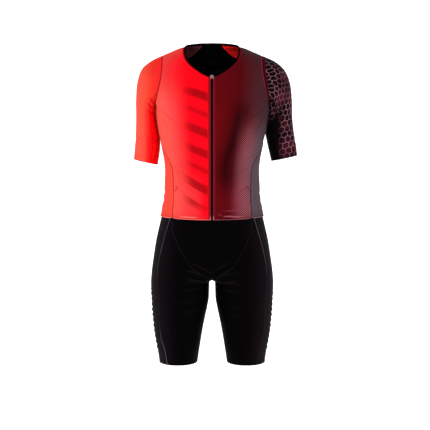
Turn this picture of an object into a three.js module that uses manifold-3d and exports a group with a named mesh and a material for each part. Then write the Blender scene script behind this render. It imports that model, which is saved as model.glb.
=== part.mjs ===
// A short-sleeved triathlon suit with a full front zip and thigh-length shorts, filled out as it is when worn.
// Units are millimetres. +Z is up and -Y is the front. The origin lies midway between the two points
// where the neckline crosses the shoulders. +X is the wearer's left.
// Every sewn piece is a closed wall: its inner face lies on the wearer's general form, and its outer face
// is that form moved out by the cloth. Neighbouring pieces share one seam line, and each stands back from it.
import * as THREE from 'three';
import { mergeVertices } from 'three/addons/utils/BufferGeometryUtils.js';
import Module from 'manifold-3d';

const wasm = await Module();
wasm.setup();

// Cloth and seams
const CLOTH = 1.2;
const SEAM_GAP = 0.4;

// Raised slanting ribs down the outside of each thigh
const RIB_HEIGHT = 1.7;
const RIB_PITCH = 16;
const RIB_SLANT = 9;
const RIBS_TOP_Z = -700;
const RIBS_BOTTOM_Z = -903;
const RIB_ROWS = 4;

// Levels
const ARMPIT_Z = -185;
const JERSEY_HEM_Z = -497;
const SHORTS_TOP_Z = -485;
const CROTCH_Z = -679;
const LEG_HEM_Z = -928;
const NECK_FRONT_Z = -93;

// Jersey hem, lifted clear of the shorts that it covers
const HEM_LIFT = 2.8;
const HEM_LIFT_START_Z = -441;
const HEM_LIFT_END_Z = -469;

// Zip
const ZIP_COIL_HALF = 2.9;
const ZIP_TAPE_HALF = 6;
const ZIP_COIL_INSIDE = -0.6;
const ZIP_COIL_OUTSIDE = 1.8;
const ZIP_TOP_Z = -88;

// Slider, closed at the top of the zip, and its pull tab, which hangs from a pin between two ears
const SLIDER = { z: -93, width: 7.6, height: 9.5, plate: 1.4, neckHeight: 2.4, neckWidth: 2.2, corner: 1.6 };
const TEETH_TOP_Z = -91.5;
const SLIDER_CLEARANCE = 0.35;
const PIN = { radius: 0.65, above: 2.35, up: 3 };
const EAR = { inner: 1.95, outer: 2.85, radius: 1.3 };
const EYE = { inner: 1, outer: 1.75, half: 1.6 };
const TAB = { length: 13, width: 5.4, thickness: 1.1, neck: 3.2, corner: 1.6 };

// Form of the body: half width, depth forward and back of the arms' plane, and the power of each section
const BODY = [
  { z: 60, half: 62, front: 48, back: 58, power: 2 },
  { z: 14, half: 67, front: 54, back: 64, power: 2 },
  { z: 0, half: 75, front: 57, back: 68, power: 2 },
  { z: -7, half: 97, front: 59, back: 72, power: 2 },
  { z: -16, half: 118, front: 62, back: 76, power: 2 },
  { z: -25, half: 139, front: 66, back: 81, power: 2 },
  { z: -34, half: 157, front: 70, back: 86, power: 2.02 },
  { z: -46, half: 174, front: 76, back: 92, power: 2.05 },
  { z: -62, half: 184, front: 83, back: 99, power: 2.1 },
  { z: -85, half: 186, front: 94, back: 106, power: 2.15 },
  { z: -115, half: 181, front: 106, back: 112, power: 2.2 },
  { z: -150, half: 173, front: 117, back: 115, power: 2.25 },
  { z: -185, half: 165, front: 122, back: 115, power: 2.3 },
  { z: -225, half: 159, front: 121, back: 111, power: 2.3 },
  { z: -255, half: 153.5, front: 117, back: 106, power: 2.3 },
  { z: -290, half: 147, front: 112, back: 99, power: 2.3 },
  { z: -330, half: 139.5, front: 106, back: 93, power: 2.3 },
  { z: -360, half: 137, front: 102, back: 90, power: 2.3 },
  { z: -400, half: 138.5, front: 101, back: 90, power: 2.3 },
  { z: -440, half: 141, front: 102, back: 93, power: 2.3 },
  { z: -480, half: 145, front: 104, back: 99, power: 2.3 },
  { z: -512, half: 152, front: 106, back: 105, power: 2.3 },
  { z: -565, half: 164, front: 109, back: 113, power: 2.3 },
  { z: -618, half: 172.5, front: 110, back: 119, power: 2.3 },
  { z: -660, half: 178, front: 107, back: 119.5, power: 2.25 },
  { z: -690, half: 180, front: 103, back: 116, power: 2.2 },
  { z: -733, half: 178, front: 96, back: 108, power: 2.15 },
  { z: -786, half: 174.5, front: 87, back: 97, power: 2.1 },
  { z: -845, half: 169, front: 77, back: 85, power: 2.1 },
  { z: -883, half: 162, front: 70.5, back: 77, power: 2.1 },
  { z: -928, half: 156, front: 63.5, back: 69.5, power: 2.1 },
];

// Distance of each leg's inner side from the middle, below the crotch
const INNER_LEG = [
  { z: CROTCH_Z, x: 0 }, { z: -681, x: 5.2 }, { z: -685, x: 8.2 }, { z: -692, x: 9.6 }, { z: -733, x: 10.8 },
  { z: -760, x: 15 }, { z: -786, x: 20.6 }, { z: -839, x: 31 }, { z: -883, x: 38 }, { z: -928, x: 45 },
];

// Armhole: how far out the seam runs at each height
const ARMHOLE = [
  { z: -20, x: 143 }, { z: -63, x: 143.5 }, { z: -105, x: 149 },
  { z: -144, x: 158 }, { z: -171, x: 163.5 }, { z: -192, x: 164 },
];
const ARMHOLE_CENTRE = { y: 3, z: -106 };
const ARMHOLE_STEPS = { front: 11, side: 6, back: 7, yoke: 4 };
const ARMHOLE_TOTAL = ARMHOLE_STEPS.front + ARMHOLE_STEPS.side + ARMHOLE_STEPS.back + ARMHOLE_STEPS.yoke;

// Neckline, from the zip over the shoulder to the middle of the back, seen from the front
const NECK_FRONT = [
  { x: ZIP_TAPE_HALF, z: NECK_FRONT_Z }, { x: 24, z: -85 }, { x: 53, z: -65 },
  { x: 71, z: -46 }, { x: 79, z: -26 }, { x: 80.5, z: -10 }, { x: 80, z: -1.6 },
];
const NECK_BACK = [{ x: 80, z: -1.6 }, { x: 68, z: 3.5 }, { x: 38, z: 9 }, { x: 0, z: 11 }];
const YOKE_NECK_X = 30;
const BINDING_WIDTH = 5;
const BINDING_THICKNESS = 2;

// Seams between the jersey's front, side and back, as the turn from straight sideways, in degrees
const JERSEY_SEAMS = [
  { z: -175, front: -9.5, back: 12 }, { z: -240, front: -6.5, back: 12 }, { z: -282, front: -7.5, back: 16 },
  { z: -300, front: -14, back: 21 }, { z: -317, front: -22, back: 25 }, { z: -335, front: -27, back: 28 },
  { z: -352, front: -30, back: 30 }, { z: -420, front: -32, back: 32 }, { z: -497, front: -34, back: 34 },
];

// The legs' front and back ridges: how far from the middle they run, and from 0 to 1 how far
// each leg has closed round on its inner side
const LEG_FORM = [
  { z: -550, ridge: 0, closed: 0 }, { z: -610, ridge: 22, closed: 0.08 },
  { z: -640, ridge: 39, closed: 0.17 }, { z: -656, ridge: 49, closed: 0.34 },
  { z: -668, ridge: 56, closed: 0.64 }, { z: -674, ridge: 60, closed: 0.83 },
  { z: -677.5, ridge: 62, closed: 0.95 }, { z: CROTCH_Z, ridge: 63, closed: 1 },
  { z: -720, ridge: 80, closed: 1 }, { z: -760, ridge: 91, closed: 1 },
  { z: -800, ridge: 97, closed: 1 }, { z: -850, ridge: 100, closed: 1 },
  { z: -928, ridge: 100.5, closed: 1 },
];

// Seams of the shorts: the front panel's edge, and how far the thigh seams stand in from the outline
const FRONT_POINT_Z = -668;
const SHORTS_FRONT_EDGE = [
  { z: -485, x: 112 }, { z: -518, x: 116 }, { z: -560, x: 102 }, { z: -590, x: 87 },
  { z: -630, x: 61 }, { z: -656, x: 26 }, { z: FRONT_POINT_Z, x: 1.5 },
];
const THIGH_SEAM_INSET = [
  { z: -485, front: 29, back: 32 }, { z: -512, front: 26, back: 31 }, { z: -560, front: 23, back: 30 },
  { z: -596, front: 20, back: 29 }, { z: -630, front: 18, back: 28 }, { z: -660, front: 20, back: 28 },
  { z: -724, front: 23, back: 28 }, { z: -794, front: 20, back: 27 }, { z: -845, front: 19.5, back: 26 },
  { z: -883, front: 24, back: 26 }, { z: -928, front: 25, back: 26 },
];

// Sleeve sections from the armhole to the cuff, for each arm: outer and inner edge, half depth and middle
const LEFT_SLEEVE = [
  { outX: 181, outZ: -43, inX: 167.2, inZ: -190, depth: 69, y: 4 },
  { outX: 209, outZ: -66, inX: 167.2, inZ: -195, depth: 66, y: 8 },
  { outX: 226, outZ: -102, inX: 166.5, inZ: -203, depth: 62, y: 13 },
  { outX: 233, outZ: -150, inX: 164.8, inZ: -216, depth: 58, y: 18 },
  { outX: 235, outZ: -205, inX: 161.6, inZ: -238, depth: 55, y: 22 },
  { outX: 240, outZ: -249, inX: 162, inZ: -264.3, depth: 52, y: 23 },
  { outX: 246, outZ: -282, inX: 168, inZ: -297.7, depth: 50, y: 22 },
  { outX: 250, outZ: -316, inX: 176, inZ: -332, depth: 48, y: 20 },
];
const RIGHT_SLEEVE = [
  { outX: 178, outZ: -43, inX: 167.2, inZ: -190, depth: 69, y: 4 },
  { outX: 203.5, outZ: -65, inX: 167.2, inZ: -195, depth: 66, y: 8 },
  { outX: 217, outZ: -101, inX: 166.5, inZ: -203, depth: 62, y: 13 },
  { outX: 222, outZ: -150, inX: 164.8, inZ: -216, depth: 58, y: 18 },
  { outX: 222.5, outZ: -205, inX: 160.6, inZ: -240, depth: 55, y: 22 },
  { outX: 224, outZ: -249, inX: 155.8, inZ: -269, depth: 52, y: 24 },
  { outX: 226.5, outZ: -289, inX: 156, inZ: -304, depth: 50, y: 23 },
  { outX: 230, outZ: -327, inX: 162, inZ: -343, depth: 48, y: 21 },
];
const SLEEVE_POWER = 2.15;
const SLEEVE_ROWS = 13;
const UNDER_SLEEVE_HALF = 5;

// Rows and columns of the pieces' grids
const SEAM_ROWS = 12;
const ZIP_ROWS = 17;
const FRONT_COLUMNS = 8;
const NECK_ROWS = SEAM_ROWS + ARMHOLE_STEPS.front - ZIP_ROWS;
const BACK_HALF_COLUMNS = 7;
const INNER_SEAM_LEVELS = [
  -485, -512, -535, -558, -581, -603, -624, -642, -656, FRONT_POINT_Z, -674, -677.5, CROTCH_Z,
  -681, -685, -693, -710, -734, -760, -787, -814, -841, -868, -895, LEG_HEM_Z,
];
const THIGH_COLUMNS = 8;
const LEG_SIDE_COLUMNS = 5;
const LEG_BACK_COLUMNS = 8;
const SHORTS_FRONT_HALF_COLUMNS = 5;

// Table reading: a smooth curve through the rows that never overshoots them
function readTable(table, column, at) {
  const rising = table[0].z < table[table.length - 1].z;
  const rows = rising ? table : [...table].reverse();
  const x = rows.map((row) => row.z);
  const y = rows.map((row) => row[column]);
  if (at <= x[0]) return y[0];
  const last = x.length - 1;
  if (at >= x[last]) return y[last];
  const slope = (i) => (y[i + 1] - y[i]) / (x[i + 1] - x[i]);
  const tangent = (i) => {
    if (i === 0) return slope(0);
    if (i === last) return slope(last - 1);
    const before = slope(i - 1);
    const after = slope(i);
    return before * after <= 0 ? 0 : (2 * before * after) / (before + after);
  };
  let i = 0;
  while (x[i + 1] < at) i += 1;
  const width = x[i + 1] - x[i];
  const t = (at - x[i]) / width;
  const rise = y[i + 1] - y[i];
  const m0 = tangent(i) * width;
  const m1 = tangent(i + 1) * width;
  return y[i] + m0 * t + (3 * rise - 2 * m0 - m1) * t * t + (m0 + m1 - 2 * rise) * t * t * t;
}

const clamp01 = (t) => Math.min(1, Math.max(0, t));
const smoothStep = (t) => clamp01(t) ** 2 * (3 - 2 * clamp01(t));
const range = (count) => Array.from({ length: count + 1 }, (_, i) => i / count);
const radians = (degrees) => (degrees * Math.PI) / 180;

function bodyAt(z) {
  return {
    half: readTable(BODY, 'half', z),
    front: readTable(BODY, 'front', z),
    back: readTable(BODY, 'back', z),
    power: readTable(BODY, 'power', z),
  };
}

// Below 1 inside the body and above 1 outside it
function bodyLevel(x, y, z) {
  const body = bodyAt(z);
  const depth = y < 0 ? body.front : body.back;
  return ((Math.abs(x) / body.half) ** body.power + (Math.abs(y) / depth) ** body.power) ** (1 / body.power);
}

const SLOPE_STEP = 0.5;
function bodyNormal(p) {
  const e = SLOPE_STEP;
  return new THREE.Vector3(
    bodyLevel(p.x + e, p.y, p.z) - bodyLevel(p.x - e, p.y, p.z),
    bodyLevel(p.x, p.y + e, p.z) - bodyLevel(p.x, p.y - e, p.z),
    bodyLevel(p.x, p.y, p.z + e) - bodyLevel(p.x, p.y, p.z - e),
  ).normalize();
}

// The point of the body at a height that a front view shows at this distance from the middle
function bodyPointAt(x, z, side) {
  const body = bodyAt(z);
  const depth = side < 0 ? body.front : body.back;
  const share = Math.max(0, 1 - (Math.abs(x) / body.half) ** body.power);
  return new THREE.Vector3(x, side * depth * share ** (1 / body.power), z);
}

// The largest distance along a way from the start that stays inside the body
const HALVINGS = 48;
function reachInside(pointAt, limit) {
  let low = 0;
  let high = limit;
  for (let step = 0; step < HALVINGS; step += 1) {
    const middle = (low + high) / 2;
    const p = pointAt(middle);
    if (bodyLevel(p.x, p.y, p.z) < 1) low = middle;
    else high = middle;
  }
  return (low + high) / 2;
}

// Jersey chart: turn round the body, and climb up it. The climb is a height below the armpit,
// and above it an arc that leans in over the shoulders to the neck.
const CHART_RADIUS = 150;
const CHART_LIMIT = 420;

function chartPoint(turn, climb) {
  if (climb <= 0) {
    const z = ARMPIT_Z + climb;
    const c = Math.cos(turn);
    const s = Math.sin(turn);
    const reach = 1 / bodyLevel(c, s, z);
    return new THREE.Vector3(c * reach, s * reach, z);
  }
  const lean = climb / CHART_RADIUS;
  const level = Math.cos(lean);
  const way = new THREE.Vector3(level * Math.cos(turn), level * Math.sin(turn), Math.sin(lean));
  const pointAt = (reach) => new THREE.Vector3(0, 0, ARMPIT_Z).addScaledVector(way, reach);
  return pointAt(reachInside(pointAt, CHART_LIMIT));
}

function chartOf(p) {
  const turn = Math.atan2(p.y, p.x);
  const up = p.z - ARMPIT_Z;
  const climb = up <= 0 ? up : CHART_RADIUS * Math.atan2(up, Math.hypot(p.x, p.y));
  return { turn, climb };
}

// Points spaced evenly along a line
function evenly(points, steps) {
  const along = [0];
  points.slice(1).forEach((p, i) => along.push(along[i] + p.distanceTo(points[i])));
  const total = along[along.length - 1];
  let i = 0;
  return range(steps).map((share) => {
    const goal = share * total;
    while (i < points.length - 2 && along[i + 1] < goal) i += 1;
    const width = along[i + 1] - along[i];
    return points[i].clone().lerp(points[i + 1], width > 0 ? (goal - along[i]) / width : 0);
  });
}

// A line on the body through named places of a front view
const FINE_STEPS = 240;
function frontViewLine(places, side, steps) {
  const marks = places.map((q) => new THREE.Vector3(q.x, 0, q.z));
  const curve = new THREE.CatmullRomCurve3(marks, false, 'centripetal');
  const dense = curve.getPoints(FINE_STEPS).map((q) => bodyPointAt(q.x, q.z, side));
  return evenly(dense, steps);
}

// The armhole seam, counted from the top of the shoulder forward, down and back up
const ARMHOLE_LIMIT = 130;
function armholePoint(share) {
  const turn = share * 2 * Math.PI;
  const pointAt = (reach) => {
    const y = ARMHOLE_CENTRE.y - Math.sin(turn) * reach;
    const z = ARMHOLE_CENTRE.z + Math.cos(turn) * reach;
    return new THREE.Vector3(readTable(ARMHOLE, 'x', z), y, z);
  };
  return pointAt(reachInside(pointAt, ARMHOLE_LIMIT));
}

const armhole = Array.from({ length: ARMHOLE_TOTAL + 1 }, (_, i) => armholePoint(i / ARMHOLE_TOTAL));
const frontEnd = ARMHOLE_STEPS.front;
const sideEnd = frontEnd + ARMHOLE_STEPS.side;
const backEnd = sideEnd + ARMHOLE_STEPS.back;

// Seam lines of the jersey's left half, as chart points, which turn towards the armhole near their tops
const TURN_TO_ARMHOLE = 0.8;
const seamPoint = (column, top) => (share) => {
  const z = JERSEY_HEM_Z + share * (top.z - JERSEY_HEM_Z);
  const blend = smoothStep((share - TURN_TO_ARMHOLE) / (1 - TURN_TO_ARMHOLE));
  const turn = radians(readTable(JERSEY_SEAMS, column, z)) * (1 - blend) + Math.atan2(top.y, top.x) * blend;
  return { turn, climb: chartOf({ x: bodyAt(z).half, y: 0, z }).climb };
};
const frontSeam = range(SEAM_ROWS).map(seamPoint('front', armhole[frontEnd]));
const backSeam = range(SEAM_ROWS).map(seamPoint('back', armhole[sideEnd]));
frontSeam[SEAM_ROWS] = chartOf(armhole[frontEnd]);
backSeam[SEAM_ROWS] = chartOf(armhole[sideEnd]);

const zipEdge = range(ZIP_ROWS).map((share) => {
  const z = JERSEY_HEM_Z + share * (NECK_FRONT_Z - JERSEY_HEM_Z);
  return bodyPointAt(ZIP_TAPE_HALF, z, -1);
});
const neckFront = frontViewLine(NECK_FRONT, -1, NECK_ROWS);
const neckBack = frontViewLine(NECK_BACK, 1, FINE_STEPS);
const yokeNeckIndex = neckBack.findIndex((p) => p.x <= YOKE_NECK_X);
const neckYoke = evenly(neckBack.slice(0, yokeNeckIndex + 1), ARMHOLE_STEPS.yoke);
const neckMiddle = evenly(neckBack.slice(yokeNeckIndex), BACK_HALF_COLUMNS);

// Straight on the chart between two chart points
const chartLine = (a, b, steps) => range(steps).map((t) => ({
  turn: a.turn + (b.turn - a.turn) * t,
  climb: a.climb + (b.climb - a.climb) * t,
}));
const shoulderSeam = chartLine(chartOf(neckFront[NECK_ROWS]), chartOf(armhole[0]), FRONT_COLUMNS);
const yokeSeam = chartLine(chartOf(armhole[backEnd]), chartOf(neckYoke[ARMHOLE_STEPS.yoke]), FRONT_COLUMNS);

// A grid of points filled in between four seam lines of a form's chart
const jerseyForm = {
  pointAt: chartPoint,
  normalAt: (turn, climb) => bodyNormal(chartPoint(turn, climb)),
};
function fillPatch({ left, right, bottom, top }, form = jerseyForm) {
  const rows = left.length - 1;
  const columns = bottom.length - 1;
  const mix = (key, i, j) => {
    const u = i / columns;
    const v = j / rows;
    const sides = (1 - u) * left[j][key] + u * right[j][key];
    const ends = (1 - v) * bottom[i][key] + v * top[i][key];
    const corners = (1 - v) * ((1 - u) * bottom[0][key] + u * bottom[columns][key])
      + v * ((1 - u) * top[0][key] + u * top[columns][key]);
    return sides + ends - corners;
  };
  return left.map((_, j) => bottom.map((__, i) => {
    const turn = mix('turn', i, j);
    const climb = mix('climb', i, j);
    return { point: form.pointAt(turn, climb), normal: form.normalAt(turn, climb) };
  }));
}

// Lifts the jersey's lower edge off the shorts
function liftHem(grid) {
  return grid.map((row) => row.map(({ point, normal }) => {
    const share = (HEM_LIFT_START_Z - point.z) / (HEM_LIFT_START_Z - HEM_LIFT_END_Z);
    return { point: point.clone().addScaledVector(normal, HEM_LIFT * smoothStep(share)), normal };
  }));
}

const mirrorPoint = (p) => new THREE.Vector3(-p.x, p.y, p.z);
const mirrorGrid = (grid) => grid.map((row) => [...row].reverse().map(({ point, normal }) => ({
  point: mirrorPoint(point),
  normal: mirrorPoint(normal),
})));

// Moves the edges of a grid back from their seam lines, half a seam gap each
function standBack(grid) {
  const rows = grid.length - 1;
  const columns = grid[0].length - 1;
  return grid.map((row, j) => row.map(({ point, normal }, i) => {
    const moved = point.clone();
    const away = (along, inside) => {
      const side = new THREE.Vector3().crossVectors(normal, along).normalize();
      if (side.dot(inside) < 0) side.negate();
      moved.addScaledVector(side, SEAM_GAP / 2);
    };
    const rowStep = grid[j][Math.min(i + 1, columns)].point.clone().sub(grid[j][Math.max(i - 1, 0)].point);
    const columnStep = grid[Math.min(j + 1, rows)][i].point.clone().sub(grid[Math.max(j - 1, 0)][i].point);
    if (i === 0) away(columnStep, row[1].point.clone().sub(point));
    if (i === columns) away(columnStep, row[columns - 1].point.clone().sub(point));
    if (j === 0) away(rowStep, grid[1][i].point.clone().sub(point));
    if (j === rows) away(rowStep, grid[rows - 1][i].point.clone().sub(point));
    return { point: moved, normal };
  }));
}

// A closed wall over a grid: rows go up, and columns go to the right of someone who faces it from outside
function wallGeometry(grid, { inner = 0, outer = CLOTH, raise = () => 0 } = {}) {
  const rows = grid.length;
  const columns = grid[0].length;
  const positions = [];
  const index = [];
  const layer = rows * columns;
  [false, true].forEach((isOuter) => grid.forEach((row, j) => row.forEach(({ point, normal }, i) => {
    const out = isOuter ? outer + raise(i, j) : inner;
    positions.push(point.x + normal.x * out, point.y + normal.y * out, point.z + normal.z * out);
  })));
  const quad = (a, b, c, d) => index.push(a, b, c, a, c, d);
  for (let j = 0; j < rows - 1; j += 1) {
    for (let i = 0; i < columns - 1; i += 1) {
      const a = j * columns + i;
      quad(layer + a, layer + a + 1, layer + a + columns + 1, layer + a + columns);
      quad(a, a + columns, a + columns + 1, a + 1);
    }
  }
  for (let i = 0; i < columns - 1; i += 1) {
    const top = (rows - 1) * columns + i;
    quad(i, i + 1, layer + i + 1, layer + i);
    quad(top + 1, top, layer + top, layer + top + 1);
  }
  for (let j = 0; j < rows - 1; j += 1) {
    const left = j * columns;
    const right = left + columns - 1;
    quad(left + columns, left, layer + left, layer + left + columns);
    quad(right, right + columns, layer + right + columns, layer + right);
  }
  const geometry = new THREE.BufferGeometry();
  geometry.setAttribute('position', new THREE.Float32BufferAttribute(positions, 3));
  geometry.setIndex(index);
  geometry.computeVertexNormals();
  return geometry;
}

const COLOURS = {
  brightRed: 0xe5222a,
  wine: 0x5c1420,
  black: 0x09090b,
  thighBlack: 0x121014,
  zipBlack: 0x050506,
  zipTape: 0x4a0f1a,
  sliderGrey: 0xb9b4ab,
};

const suit = new THREE.Group();
const CLOTH_FINISH = { roughness: 0.72, metalness: 0 };
const PLASTIC_FINISH = { roughness: 0.45, metalness: 0 };
const METAL_FINISH = { roughness: 0.35, metalness: 0.8 };
function addPiece(parent, name, geometry, colour, finish = CLOTH_FINISH) {
  const material = new THREE.MeshStandardMaterial({ color: colour, ...finish });
  const mesh = new THREE.Mesh(geometry, material);
  mesh.name = name;
  parent.add(mesh);
}

// A left and a right piece from one grid of the left half
function addPair(name, grid, colours, options) {
  addPiece(suit, `${name}_left`, wallGeometry(standBack(grid), options), colours.left);
  addPiece(suit, `${name}_right`, wallGeometry(standBack(mirrorGrid(grid)), options), colours.right);
}

// Jersey fronts, from the zip to the side seam and the armhole, and up over the chest to the shoulder seam
addPair('front', liftHem(fillPatch({
  left: [...zipEdge, ...neckFront.slice(1)].map(chartOf),
  right: [...frontSeam, ...armhole.slice(0, frontEnd).reverse().map(chartOf)],
  bottom: chartLine(chartOf(zipEdge[0]), frontSeam[0], FRONT_COLUMNS),
  top: shoulderSeam,
})), { left: COLOURS.wine, right: COLOURS.brightRed });

// Jersey sides, under the arms
addPair('side', liftHem(fillPatch({
  left: frontSeam,
  right: backSeam,
  bottom: chartLine(frontSeam[0], backSeam[0], ARMHOLE_STEPS.side),
  top: armhole.slice(frontEnd, sideEnd + 1).map(chartOf),
})), { left: COLOURS.wine, right: COLOURS.brightRed });

// Jersey back in one piece, with the slanting yoke seams as its shoulders
const backHem = { turn: Math.PI / 2, climb: JERSEY_HEM_Z - ARMPIT_Z };
const backNeck = chartOf(neckMiddle[BACK_HALF_COLUMNS]);
const backRows = SEAM_ROWS + ARMHOLE_STEPS.back + FRONT_COLUMNS;
const backHalf = fillPatch({
  left: [...backSeam, ...armhole.slice(sideEnd + 1, backEnd).map(chartOf), ...yokeSeam],
  right: chartLine(backHem, backNeck, backRows),
  bottom: chartLine(backSeam[0], backHem, BACK_HALF_COLUMNS),
  top: neckMiddle.map(chartOf),
});
const backOther = mirrorGrid(backHalf);
const backGrid = liftHem(backHalf.map((row, j) => [...row, ...backOther[j].slice(1)]));
addPiece(suit, 'back', wallGeometry(standBack(backGrid)), COLOURS.black);

// Back yokes, between the shoulder seam and the slanting seam behind it
addPair('yoke', fillPatch({
  left: armhole.slice(backEnd).map(chartOf),
  right: [...neckYoke].reverse().map(chartOf),
  bottom: yokeSeam,
  top: [...shoulderSeam].reverse(),
}), { left: COLOURS.brightRed, right: COLOURS.wine });

// Normals of a tube's grid, which closes on itself along each row
function withNormals(points) {
  const last = points[0].length - 1;
  return points.map((row, j) => row.map((point, i) => {
    const across = row[i === last ? 1 : i + 1].clone().sub(row[i === 0 ? last - 1 : i - 1]);
    const up = points[Math.min(j + 1, points.length - 1)][i].clone().sub(points[Math.max(j - 1, 0)][i]);
    return { point, normal: across.cross(up).normalize() };
  }));
}

// A sleeve as a grid of rows from the cuff up to the armhole, once round from the over-arm line
function sleeveGrid(sections) {
  const sectionPoint = (section, turn) => {
    const round = (v) => Math.sign(v) * Math.abs(v) ** (2 / SLEEVE_POWER);
    const along = round(Math.cos(turn)) / 2;
    const x = (section.outX + section.inX) / 2 + (section.outX - section.inX) * along;
    const z = (section.outZ + section.inZ) / 2 + (section.outZ - section.inZ) * along;
    return new THREE.Vector3(x, section.y - section.depth * round(Math.sin(turn)), z);
  };
  const lines = armhole.map((seam, i) => {
    const turn = (i / ARMHOLE_TOTAL) * 2 * Math.PI;
    const facing = bodyNormal(seam).x;
    const inward = Math.max(0, -Math.cos(turn));
    const start = seam.clone();
    start.x += SEAM_GAP + CLOTH * (facing + inward);
    const along = [start, ...sections.map((s) => sectionPoint(s, turn))];
    return new THREE.CatmullRomCurve3(along, false, 'centripetal');
  });
  const points = range(SLEEVE_ROWS).map((share) => lines.map((line) => line.getPoint(1 - share)).reverse());
  return withNormals(points);
}

function addSleeve(name, sections, mirrored, colours) {
  const ring = sleeveGrid(sections);
  const middle = ARMHOLE_TOTAL / 2;
  const underStart = middle - UNDER_SLEEVE_HALF;
  const underEnd = middle + UNDER_SLEEVE_HALF;
  const under = ring.map((row) => row.slice(underStart, underEnd + 1));
  const over = ring.map((row) => [...row.slice(underEnd), ...row.slice(1, underStart + 1)]);
  const place = (grid) => wallGeometry(standBack(mirrored ? mirrorGrid(grid) : grid));
  addPiece(suit, `${name}_over`, place(over), colours.over);
  addPiece(suit, `${name}_under`, place(under), colours.under);
}
addSleeve('sleeve_left', LEFT_SLEEVE, false, { over: COLOURS.black, under: COLOURS.black });
addSleeve('sleeve_right', RIGHT_SLEEVE, true, { over: COLOURS.brightRed, under: COLOURS.brightRed });

// Binding round the neckline, open at the zip
const bindingHalf = [...neckFront, ...neckYoke.slice(1), ...neckMiddle.slice(1)];
const bindingPath = [...bindingHalf, ...bindingHalf.slice(0, -1).reverse().map(mirrorPoint)];
const bindingRow = bindingPath.map((point, i) => {
  const normal = bodyNormal(point);
  const after = bindingPath[Math.min(i + 1, bindingPath.length - 1)];
  const along = after.clone().sub(bindingPath[Math.max(i - 1, 0)]);
  const towardNeck = new THREE.Vector3().crossVectors(normal, along);
  if (i === 0 || i === bindingPath.length - 1) towardNeck.x = 0;
  return { point, normal, towardNeck: towardNeck.normalize() };
});
const bindingGrid = [0, BINDING_WIDTH].map((width) => bindingRow.map(({ point, normal, towardNeck }) => ({
  point: point.clone().addScaledVector(towardNeck, width),
  normal,
})));
const bindingWall = wallGeometry(standBack(bindingGrid), { outer: BINDING_THICKNESS });
addPiece(suit, 'neck_binding', bindingWall, COLOURS.black);

// Zip: a woven tape on each side and the closed row of teeth between them
const zipLevels = [...zipEdge.map((p) => p.z), ZIP_TOP_Z];
const zipStrip = (levels, xs) => liftHem(levels.map((z) => xs.map((x) => {
  const point = bodyPointAt(x, z, -1);
  return { point, normal: bodyNormal(point) };
})));
const tapeGrid = zipStrip(zipLevels, [ZIP_COIL_HALF, ZIP_TAPE_HALF]);
addPair('zip_tape', tapeGrid, { left: COLOURS.zipTape, right: COLOURS.zipTape });
const teethLevels = [...zipEdge.slice(0, -1).map((p) => p.z), TEETH_TOP_Z];
const teethGrid = zipStrip(teethLevels, [-ZIP_COIL_HALF, 0, ZIP_COIL_HALF]);
const teethWall = wallGeometry(standBack(teethGrid), { inner: ZIP_COIL_INSIDE, outer: ZIP_COIL_OUTSIDE });
addPiece(suit, 'zip_teeth', teethWall, COLOURS.zipBlack, PLASTIC_FINISH);

// Joins and cuts on closed meshes
const MERGE_DISTANCE = 1e-4;
function toSolid(geometry) {
  const plain = geometry.clone();
  plain.deleteAttribute('normal');
  plain.deleteAttribute('uv');
  const merged = mergeVertices(plain, MERGE_DISTANCE);
  return new wasm.Manifold(new wasm.Mesh({
    numProp: 3,
    vertProperties: merged.attributes.position.array,
    triVerts: new Uint32Array(merged.index.array),
  }));
}

function toGeometry(solid) {
  const mesh = solid.getMesh();
  const geometry = new THREE.BufferGeometry();
  geometry.setAttribute('position', new THREE.BufferAttribute(mesh.vertProperties, 3));
  geometry.setIndex(new THREE.BufferAttribute(mesh.triVerts, 1));
  geometry.computeVertexNormals();
  return geometry;
}

// A plate in the XZ plane with rounded corners, its front face towards -Y at `front`
function plate({ width, height, corner, thickness, front, centreZ }) {
  const w = width / 2 - corner;
  const h = height / 2 - corner;
  const outline = new THREE.Shape();
  outline.absarc(w, h, corner, 0, Math.PI / 2);
  outline.absarc(-w, h, corner, Math.PI / 2, Math.PI);
  outline.absarc(-w, -h, corner, Math.PI, 1.5 * Math.PI);
  outline.absarc(w, -h, corner, 1.5 * Math.PI, 2 * Math.PI);
  const sizes = { depth: thickness, bevelEnabled: false, curveSegments: 4 };
  const geometry = new THREE.ExtrudeGeometry(outline, sizes);
  return geometry.rotateX(Math.PI / 2).translate(0, front + thickness, centreZ);
}

// A round bar along X
const BAR_SIDES = 20;
const bar = (radius, half, y, z, x = 0) => new THREE.CylinderGeometry(radius, radius, 2 * half, BAR_SIDES)
  .rotateZ(Math.PI / 2).translate(x, y, z);

// Shorts form: one round above, which closes into two rounds at the crotch. A turn of 0 is the outer side,
// negative turns are in front, and half a turn either way is the inner side.
const TINY = 1e-6;
function shortsSection(z) {
  const body = bodyAt(z);
  const ridge = readTable(LEG_FORM, 'ridge', z);
  const closed = readTable(LEG_FORM, 'closed', z);
  const innerRadius = z > CROTCH_Z
    ? ridge / Math.max(closed, TINY)
    : ridge - readTable(INNER_LEG, 'x', z);
  return { ...body, ridge, outerRadius: body.half - ridge, innerRadius };
}

function shortsPoint(turn, z) {
  const { ridge, outerRadius, innerRadius, front, back, power } = shortsSection(z);
  const round = (v) => Math.sign(v) * Math.abs(v) ** (2 / power);
  const across = round(Math.cos(turn));
  const y = round(Math.sin(turn)) * (turn < 0 ? front : back);
  return new THREE.Vector3(ridge + across * (across > 0 ? outerRadius : innerRadius), y, z);
}

const TURN_STEP = 0.01;
function shortsNormal(turn, z) {
  const e = TURN_STEP;
  const across = shortsPoint(turn + e, z).sub(shortsPoint(turn - e, z));
  const up = shortsPoint(turn, z + e).sub(shortsPoint(turn, z - e));
  const normal = across.cross(up);
  if (Math.abs(shortsPoint(turn, z).x) < e) normal.x = 0;
  return normal.normalize();
}

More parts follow.
